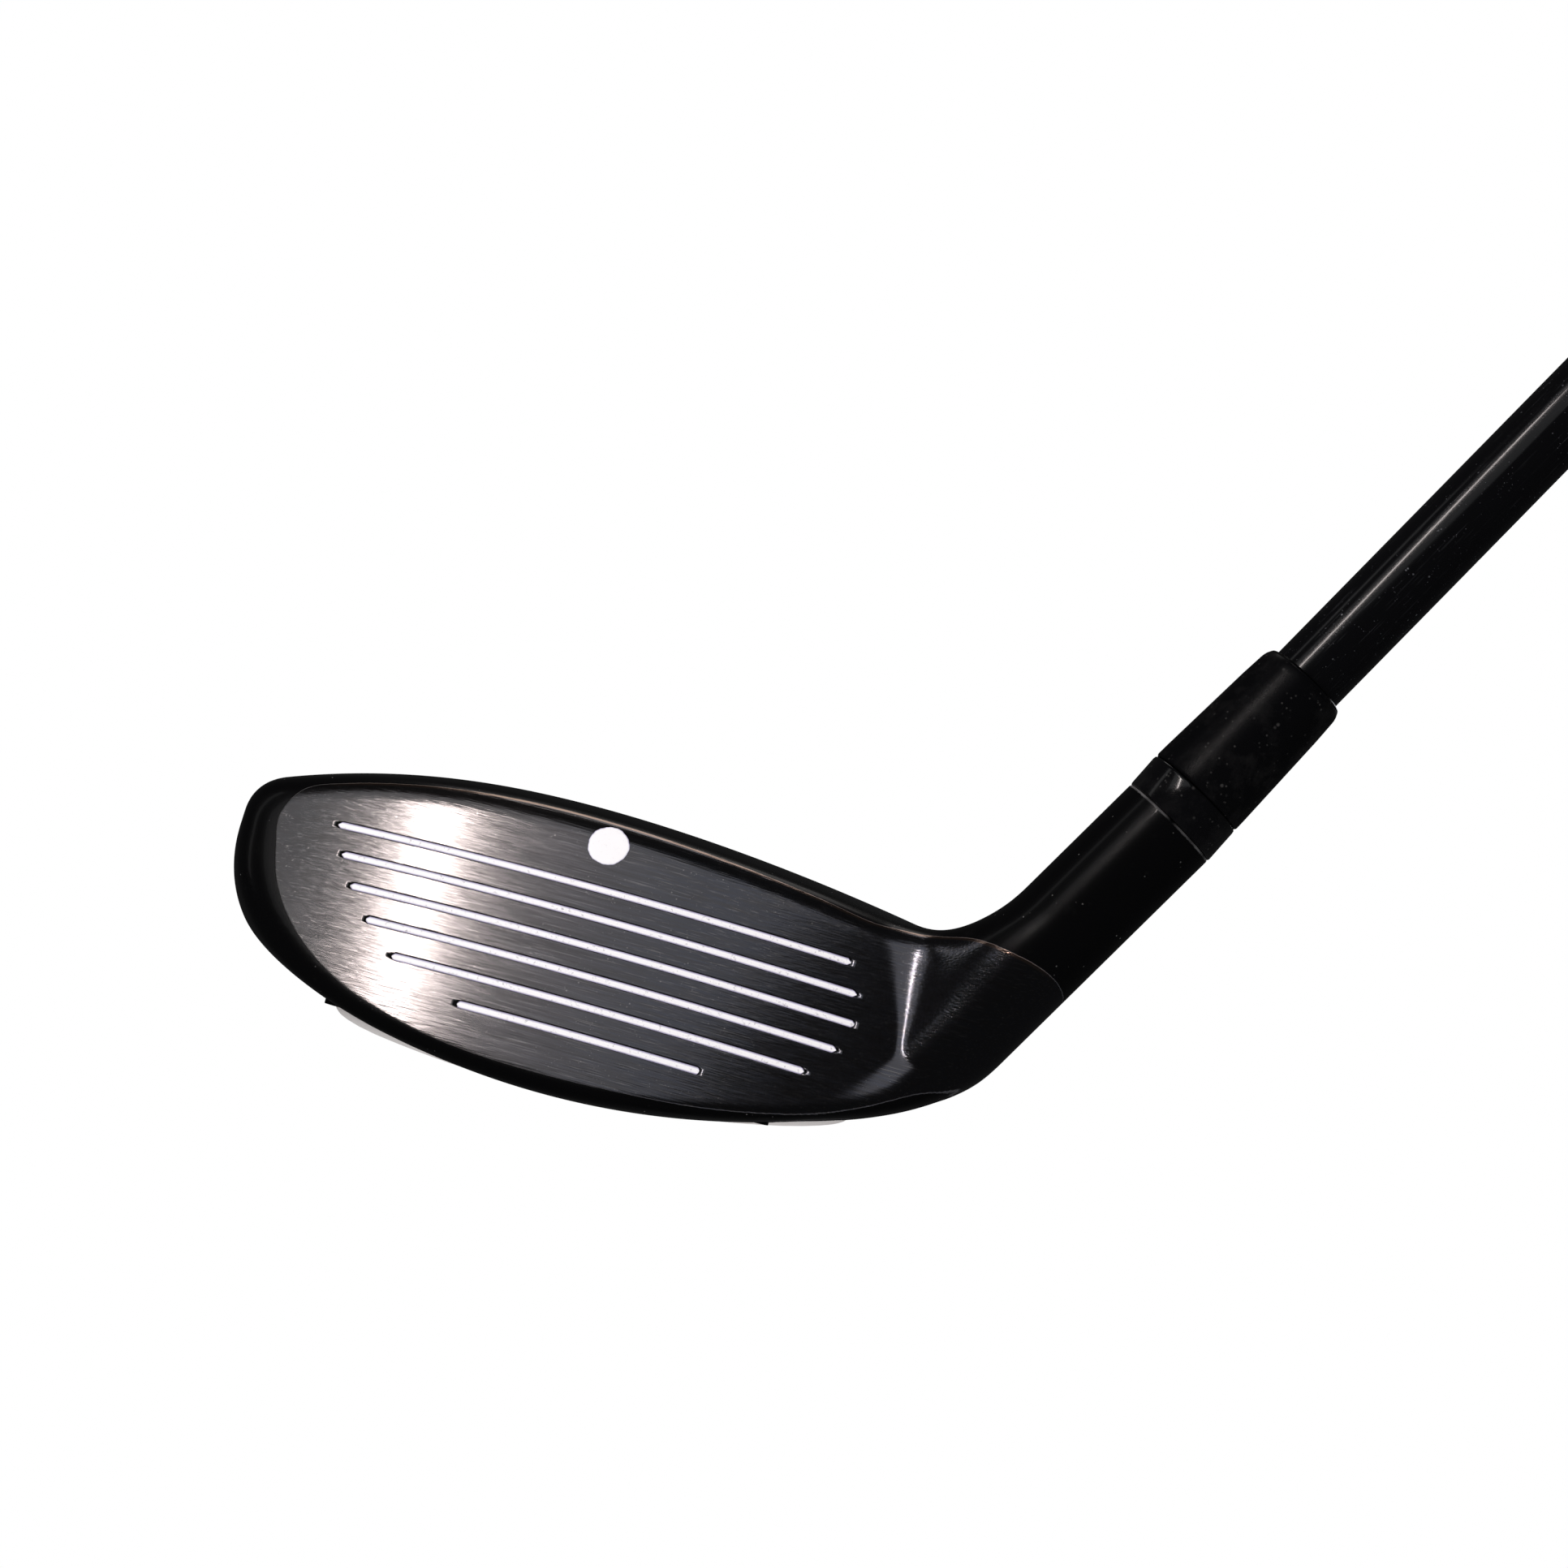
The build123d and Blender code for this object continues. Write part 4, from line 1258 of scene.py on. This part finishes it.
    def openings(self) -> list[Opening]:
        """Screw recess, weight port and the slot's groove."""
        turn = np.linspace(0, 2 * math.pi, 96, endpoint=False)
        ring = np.stack([np.cos(turn), np.sin(turn)], -1)
        screw = Opening("head_screw_recess", HOSEL_LINE.point(self.recess_from), -HOSEL_LINE.up,
                        ring * self.recess_radius, self.recess_to - self.recess_from)
        wx, wy = self.weight_at
        ball = np.array([0.0, 0.0, self.form.sole_radius])
        centre = self.on_sole(np.array(wx), np.array(wy), 0.0)
        port = Opening("head_weight_port", centre, unit(centre - ball), ring * self.port_radius,
                       self.port_depth, True)
        half = np.array(self.slot_size) / 2 + 0.02
        ends = np.sign(ring[:, :1]) * np.array([[half[0] - half[1], 0.0]]) + ring * half[1]
        middle = self.on_sole(np.array(self.slot_middle[0]), np.array(self.slot_middle[1]), 0.0)
        slot = Opening("head_sole_groove", middle, np.array([0.0, 0.0, -1.0]), self.lengthways(ends),
                       self.slot_depth)
        return [screw, port, slot]

    @staticmethod
    def lengthways(ring: np.ndarray) -> np.ndarray:
        """Ring of a slot with its straight sides filled in evenly."""
        gap = np.linalg.norm(np.roll(ring, -1, 0) - ring, axis=1)
        parts = []
        for i, g in enumerate(gap):
            count = max(1, int(g / 0.8))
            share = np.arange(count)[:, None] / count
            parts.append(ring[i] + (ring[(i + 1) % len(ring)] - ring[i]) * share)
        return np.concatenate(parts)

    def line_fill(self) -> bpy.types.Object:
        """Six strips of paint in the cut lines, a little hollow, their ends round."""
        points, faces, edges, count = [], [], [], 0
        across = np.linspace(-1, 1, 9)
        for (toe, heel), t0 in zip(self.lines.ends, self.lines.heights()):
            r = self.lines.width / 2
            long = np.linspace(toe + 0.004, heel - 0.004, 150)
            over = np.maximum(np.maximum(toe + r - long, long - heel + r), 0)
            half = np.sqrt(np.maximum(r * r - over**2, 0.0004))
            x = np.repeat(long[:, None], 9, 1)
            t = t0 - half[:, None] * across[None]
            p = self.form.on_face(x, t, 0.075 + 0.05 * (1 - across[None] ** 2) + 0 * x)
            quads = Grid(p).quads()[:, ::-1]
            points.append(p.reshape(-1, 3))
            faces.append(quads + count)
            edges.append((np.abs(across)[None] ** 3 + 0 * x).reshape(-1))
            count += p.shape[0] * p.shape[1]
        return make_mesh("score_line_paint", np.concatenate(points), np.concatenate(faces),
                         edge=np.concatenate(edges))

    def dot(self) -> bpy.types.Object:
        """Painted dot with a slightly uneven edge: radius plus three small waves."""
        turn = np.linspace(0, 2 * math.pi, 128, endpoint=False)
        waves = 0.03 * np.sin(5 * turn + 1) + 0.02 * np.sin(11 * turn) + 0.014 * np.sin(23 * turn)
        edge = self.lines.dot_radius + waves
        share = np.array([1.0, 0.985, 0.96, 0.9, 0.75, 0.5, 0.25, 0.0])
        rise = np.array([-0.06, 0.0, 0.02, 0.03, 0.035, 0.03, 0.03, 0.03])
        x = share[:, None] * edge * np.cos(turn)
        t = share[:, None] * edge * np.sin(turn)
        p = self.form.on_face(x, t, -rise[:, None] + 0 * x)
        points, quads = weld_ends(Grid(p, wrap_columns=True), False, True)
        return make_mesh("dot_paint", points, quads, edge=np.repeat(share**30, len(turn)))

    def build(self) -> list[bpy.types.Object]:
        """Builds and dresses every piece of the head.

        Returns:
            The pieces.
        """
        skin = HeadSkin(self.form, self.lines)
        openings = self.openings()
        marks = self.border(skin.grid.points.reshape(-1, 3))
        made = []
        for node, piece in skin.cut_pieces(marks, openings).items():
            piece.name = f"{node}_skin"
            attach(piece, "head")
            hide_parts(node)
            dress(piece, node)
            made.append(piece)
        for opening in openings:
            piece = opening.rim(self.form, 5.0)
            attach(piece, "head")
            dress(piece, "head_body")
            made.append(piece)
        inserts = {"slot_filler": self.insert(), "sole_pad": self.pad(), "score_line_fill": self.line_fill(),
                   "alignment_dot": self.dot()}
        for node, piece in inserts.items():
            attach(piece, "head")
            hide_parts(node)
            dress(piece, node)
            made.append(piece)
        return made


@dataclass
class ShaftAssembly:
    """Everything fixed to the shaft: sleeve, ferrule, shaft, grip and cap."""

    tip: float = 9.4
    butt: float = 15.2
    wall: float = 0.9
    drawn_wall: float = 1.145
    shaft_from: float = 41.3
    parallel_tip: float = 240.0
    parallel_butt: float = 980.0
    length: float = 1016.0
    sleeve: float = 11.0
    collar: float = 13.0
    collar_top: float = 64.1
    seat: float = 59.8
    sleeve_end: float = 28.9
    socket_from: float = 44.0
    bend: tuple[float, float] = (59.9, 61.2)
    sides: int = 128
    ferrule_top: float = 83.0
    ferrule_foot: float = 6.475
    ferrule_mouth: float = 5.78
    grip_mouth: float = 748.0
    grip_small: float = 18.4
    grip_big: float = 26.4
    ring_pitch: float = 8.0
    rings: int = 22
    ring_depth: float = 0.5
    ring_width: float = 1.6
    cap: float = 4.0
    vent: float = 1.5
    plug_hollow: float = 4.0
    plug_length: float = 10.0

    def collar_piece(self) -> bpy.types.Object:
        """Sleeve: barrel inside the hosel and collar on its mouth, turned about a bent axis.

        Below the mouth the sections stand square to the hosel's axis and above
        it they turn over to the shaft's axis.
        """
        r, s = self.collar / 2, self.sleeve / 2
        inner = self.tip / 2 + 0.02
        low, seat, top = self.sleeve_end, self.seat + 0.06, self.collar_top
        profile = [(0.1, low), (s - 0.6, low), (s, low + 0.6), (s, seat), (r - 0.25, seat)]
        profile += [(r - 0.07, seat + 0.06), (r, seat + 0.22), (r, top - 0.48), (r - 0.05, top - 0.2)]
        profile += [(r - 0.22, top - 0.04)]
        profile += [(r - 0.4, top), (inner, top), (inner, self.socket_from)]
        table = np.array(profile)
        barrel = HOSEL_LINE.turned(table, self.sides).points
        collar = SHAFT_LINE.turned(table, self.sides).points
        share = ease(*self.bend, table[:, 1])[:, None, None]
        share[-1] = 1.0
        grid = Grid(barrel * (1 - share) + collar * share, wrap_columns=True)
        return make_mesh("hosel_collar", *weld_ends(grid, False, False))

    def ferrule_piece(self) -> bpy.types.Object:
        """Ferrule: foot just inside the collar's edge, drawn in slightly and bevelled at its mouth."""
        t = self.tip / 2 + 0.02
        low, top = self.collar_top + 0.06, self.ferrule_top
        foot, mouth = self.ferrule_foot, self.ferrule_mouth
        profile = rounded([(t, low, 0), (foot - 0.175, low, 0), (foot, low + 0.24, 0.12),
                           (foot - 0.035, low + 1.84, 0), (mouth + 0.22, top - 4.5, 0),
                           (mouth, top - 0.8, 0.8), (mouth - 0.58, top, 0.4), (t, top, 0.1),
                           (t, low + 1.84, 0)])
        return turned_piece("ferrule_cone", SHAFT_LINE, profile, self.sides)

    def shaft_piece(self) -> bpy.types.Object:
        """Shaft: parallel tip, straight taper, parallel butt."""
        top = self.length - self.cap
        outer = [(self.tip / 2, s) for s in np.linspace(self.shaft_from, self.parallel_tip, 24)]
        outer += [(self.radius(s), s) for s in np.linspace(self.parallel_tip, self.parallel_butt, 60)[1:]]
        outer += [(self.butt / 2, top)]
        inner = [(r - self.drawn_wall, s) for r, s in outer[::-1][::6]]
        profile = [(0.8, self.shaft_from)] + outer + inner + [(0.8, self.shaft_from + 2)]
        return turned_piece("shaft_tube", SHAFT_LINE, profile, 96)

    def radius(self, s: np.ndarray | float) -> float:
        """Radius of the shaft at a distance from the ground."""
        share = np.clip((s - self.parallel_tip) / (self.parallel_butt - self.parallel_tip), 0, 1)
        return float(self.tip / 2 + share * (self.butt - self.tip) / 2)

    def grip_radius(self, s: np.ndarray) -> np.ndarray:
        """Radius of the grip: a taper with ring grooves, each a half wave deep."""
        top = self.length - self.cap
        share = (s - self.grip_mouth) / (top - self.grip_mouth)
        r = self.grip_small / 2 + share * (self.grip_big - self.grip_small) / 2
        first = self.grip_mouth + 22.0
        near = (s - first + self.ring_pitch / 2) % self.ring_pitch - self.ring_pitch / 2
        inside = (s > first - 3) & (s < first + self.ring_pitch * (self.rings - 1) + 3)
        cut = np.where(np.abs(near) < self.ring_width / 2, np.cos(near * math.pi / self.ring_width), 0.0)
        return r - self.ring_depth * np.where(inside, cut, 0.0)

    def grip_piece(self) -> bpy.types.Object:
        """Grip: rounded mouth, ring grooves, up to the cap."""
        top = self.length - self.cap
        s = np.arange(self.grip_mouth + 1.0, top, 0.25)
        r = self.grip_radius(s)
        lip = [(r[0] - 0.9, s[0] - 1.0), (r[0] - 0.45, s[0] - 0.95), (r[0] - 0.12, s[0] - 0.6)]
        inner = [(self.radius(v) + 0.25, float(v)) for v in np.linspace(top, self.grip_mouth, 12)]
        profile = lip + list(zip(r, s)) + [(self.grip_big / 2, top)] + inner
        return turned_piece("grip_sleeve", SHAFT_LINE, profile, 96)

    def cap_piece(self) -> bpy.types.Object:
        """Cap: rounded rim, flat butt, vent hole, plug inside the shaft."""
        r, top, under = self.grip_big / 2, self.length, self.length - self.cap
        plug = self.butt / 2 - self.wall - 0.02
        vent, hollow, foot = self.vent, self.plug_hollow, under - self.plug_length
        profile = rounded([(r - 0.05, under + 0.02, 0), (r, under + 0.3, 0.1), (r - 0.1, under + 1.6, 0.4),
                           (r - 0.8, under + 3.0, 0.6), (r - 2.4, top, 1.0), (vent, top, 0.15),
                           (vent, under, 0.1), (hollow, under, 0.1), (hollow, foot, 0.2),
                           (plug, foot, 0.3), (plug, under + 0.02, 0)])
        return turned_piece("grip_end_cap", SHAFT_LINE, profile, 96)

    def build(self) -> list[bpy.types.Object]:
        """Builds and dresses the pieces.

        Returns:
            The pieces.
        """
        made = []
        for piece, node in ((self.collar_piece(), "adapter_sleeve"), (self.ferrule_piece(), "ferrule"),
                            (self.shaft_piece(), "shaft"), (self.grip_piece(), "grip"),
                            (self.cap_piece(), "grip_cap")):
            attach(piece, "shaft_assembly")
            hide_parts(node)
            dress(piece, node)
            made.append(piece)
        return made


@dataclass
class Hardware:
    """Screw, washer, retainer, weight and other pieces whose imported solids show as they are."""

    nodes: tuple[str, ...] = ("hosel_screw", "screw_washer", "screw_retainer", "spline_seat", "sole_weight",
                              "weight_seal", "tip_pin", "grip_tape")

    def build(self, frame: dict[str, dict[str, bpy.types.Object]]) -> list[bpy.types.Object]:
        """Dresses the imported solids.


        Returns:
            The dressed nodes.
        """
        made = []
        for name in self.nodes:
            dress(frame["nodes"][name], name)
            made.append(frame["nodes"][name])
        return made


# ---------------------------------------------------------------------------
# Studio
# ---------------------------------------------------------------------------
@dataclass(frozen=True)
class SoftBox:
    """Rectangular light.

    Attributes:
        name: Name of the light.
        middle: Place in millimetres.
        aim: Point it faces, in millimetres.
        size: Width and height in millimetres.
        power: Watts.
        color: Colour of the light.
        mirrored: Gloss shows it; if not, it only lights matt surfaces.
        lean: Turn of its top toward the toe, in degrees.
    """

    name: str
    middle: tuple[float, float, float]
    aim: tuple[float, float, float]
    size: tuple[float, float]
    power: float
    color: tuple[float, float, float] = (1.0, 1.0, 1.0)
    mirrored: bool = True
    lean: float = 0.0

    def build(self) -> None:
        """Hangs the light, its height upright but for the lean."""
        data = bpy.data.lights.new(self.name, "AREA")
        data.shape = "RECTANGLE"
        data.size, data.size_y = (s * MM for s in self.size)
        data.energy = self.power
        data.color = self.color
        lamp = bpy.data.objects.new(self.name, data)
        way = Vector(self.aim) - Vector(self.middle)
        lean = Quaternion((0.0, 0.0, 1.0), math.radians(self.lean))
        lamp.rotation_euler = (way.to_track_quat("-Z", "Y") @ lean).to_euler()
        lamp.location = Vector(self.middle) * MM
        lamp.visible_glossy = self.mirrored
        bpy.context.scene.collection.objects.link(lamp)


@dataclass
class Studio:
    """Floor, lights, surroundings and camera."""

    floor_drop: float = 40.0
    floor_size: float = 9000.0
    eye: tuple[float, float, float] = (55.738, -344.273, 26.194)
    azimuth: float = 6.22
    elevation: float = -2.99
    roll: float = 15.10
    lens: float = 65.27
    ambient: float = 0.02
    boxes: tuple[SoftBox, ...] = (
        SoftBox("key_lamp", (-234, -438, 379), (-22, -8, 19), (50, 130), 3.0, (1.0, 0.97, 0.96), False),
        SoftBox("key_strip", (-223, -438, 379), (-22, -8, 19), (26, 260), 0.42, (1.0, 0.91, 0.88), lean=18.0),
        SoftBox("front_panel", (-330, -800, 860), (0, -5, 20), (900, 900), 1.05, (0.95, 0.97, 1.0)),
        SoftBox("high_box", (-200, 700, 1500), (20, 0, 100), (700, 500), 1.2, (1.0, 0.97, 0.95)),
        SoftBox("rear_box", (700, 1500, 700), (40, 0, 60), (900, 700), 5.0, (0.92, 0.95, 1.0)),
        SoftBox("side_strip", (-900, -260, 500), (20, 0, 40), (120, 800), 0.15),
    )

    def floor(self) -> None:
        """Plain pale floor that gives off its own white."""
        half = self.floor_size / 2
        corner = np.array([[-half, -half], [half, -half], [half, half], [-half, half]])
        points = np.column_stack([corner, np.full(4, -self.floor_drop)])
        piece = make_mesh("studio_floor", points, [[0, 1, 2, 3]])
        sheet = Sheet("studio_floor", Base_Color=(0.0, 0.0, 0.0, 1.0), Roughness=1.0, Emission_Strength=1.0,
                      Emission_Color=(1.0, 1.0, 1.0, 1.0), Specular_IOR_Level=0.0)
        piece.data.materials.append(sheet.material)
        piece.visible_glossy = piece.visible_shadow = False

    def surroundings(self) -> None:
        """White to the camera, dim to everything else."""
        world = bpy.data.worlds.new("studio")
        bpy.context.scene.world = world
        world.use_nodes = True
        tree = world.node_tree
        tree.nodes.clear()
        ray = tree.nodes.new("ShaderNodeLightPath")
        white, dim = tree.nodes.new("ShaderNodeBackground"), tree.nodes.new("ShaderNodeBackground")
        white.inputs["Color"].default_value = (1, 1, 1, 1)
        dim.inputs["Color"].default_value = (1, 1, 1, 1)
        dim.inputs["Strength"].default_value = self.ambient
        mix, out = tree.nodes.new("ShaderNodeMixShader"), tree.nodes.new("ShaderNodeOutputWorld")
        tree.links.new(ray.outputs["Is Camera Ray"], mix.inputs["Fac"])
        tree.links.new(dim.outputs[0], mix.inputs[1])
        tree.links.new(white.outputs[0], mix.inputs[2])
        tree.links.new(mix.outputs[0], out.inputs["Surface"])

    def camera(self) -> None:
        """Camera in front of the face, low and rolled."""
        a, e, r = (math.radians(v) for v in (self.azimuth, self.elevation, self.roll))
        back = Vector((math.sin(a) * math.cos(e), -math.cos(a) * math.cos(e), math.sin(e)))
        side = Vector((math.cos(a), math.sin(a), 0.0))
        up = back.cross(side)
        right = math.cos(r) * side + math.sin(r) * up
        top = -math.sin(r) * side + math.cos(r) * up
        data = bpy.data.cameras.new("camera")
        data.lens, data.sensor_width = self.lens, 36.0
        data.clip_start, data.clip_end = 0.01, 50.0
        eye = bpy.data.objects.new("camera", data)
        matrix = Matrix((right, top, back)).transposed().to_4x4()
        matrix.translation = Vector(self.eye) * MM
        eye.matrix_world = matrix
        bpy.context.scene.collection.objects.link(eye)
        bpy.context.scene.camera = eye

    def build(self) -> None:
        """Sets the studio up with a plain view transform."""
        bpy.context.scene.view_settings.view_transform = "Standard"
        self.floor()
        self.surroundings()
        for box in self.boxes:
            box.build()
        self.camera()


def main() -> None:
    """Builds the club round the frame and reports every piece."""
    logging.basicConfig(level=logging.INFO, format="%(message)s")
    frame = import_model()
    pieces = Head().build() + ShaftAssembly().build() + Hardware().build(frame)
    for piece in pieces:
        log.info("%s: %d faces", piece.name, len(piece.data.polygons))
    Studio().build()


if __name__ == "__main__":
    main()
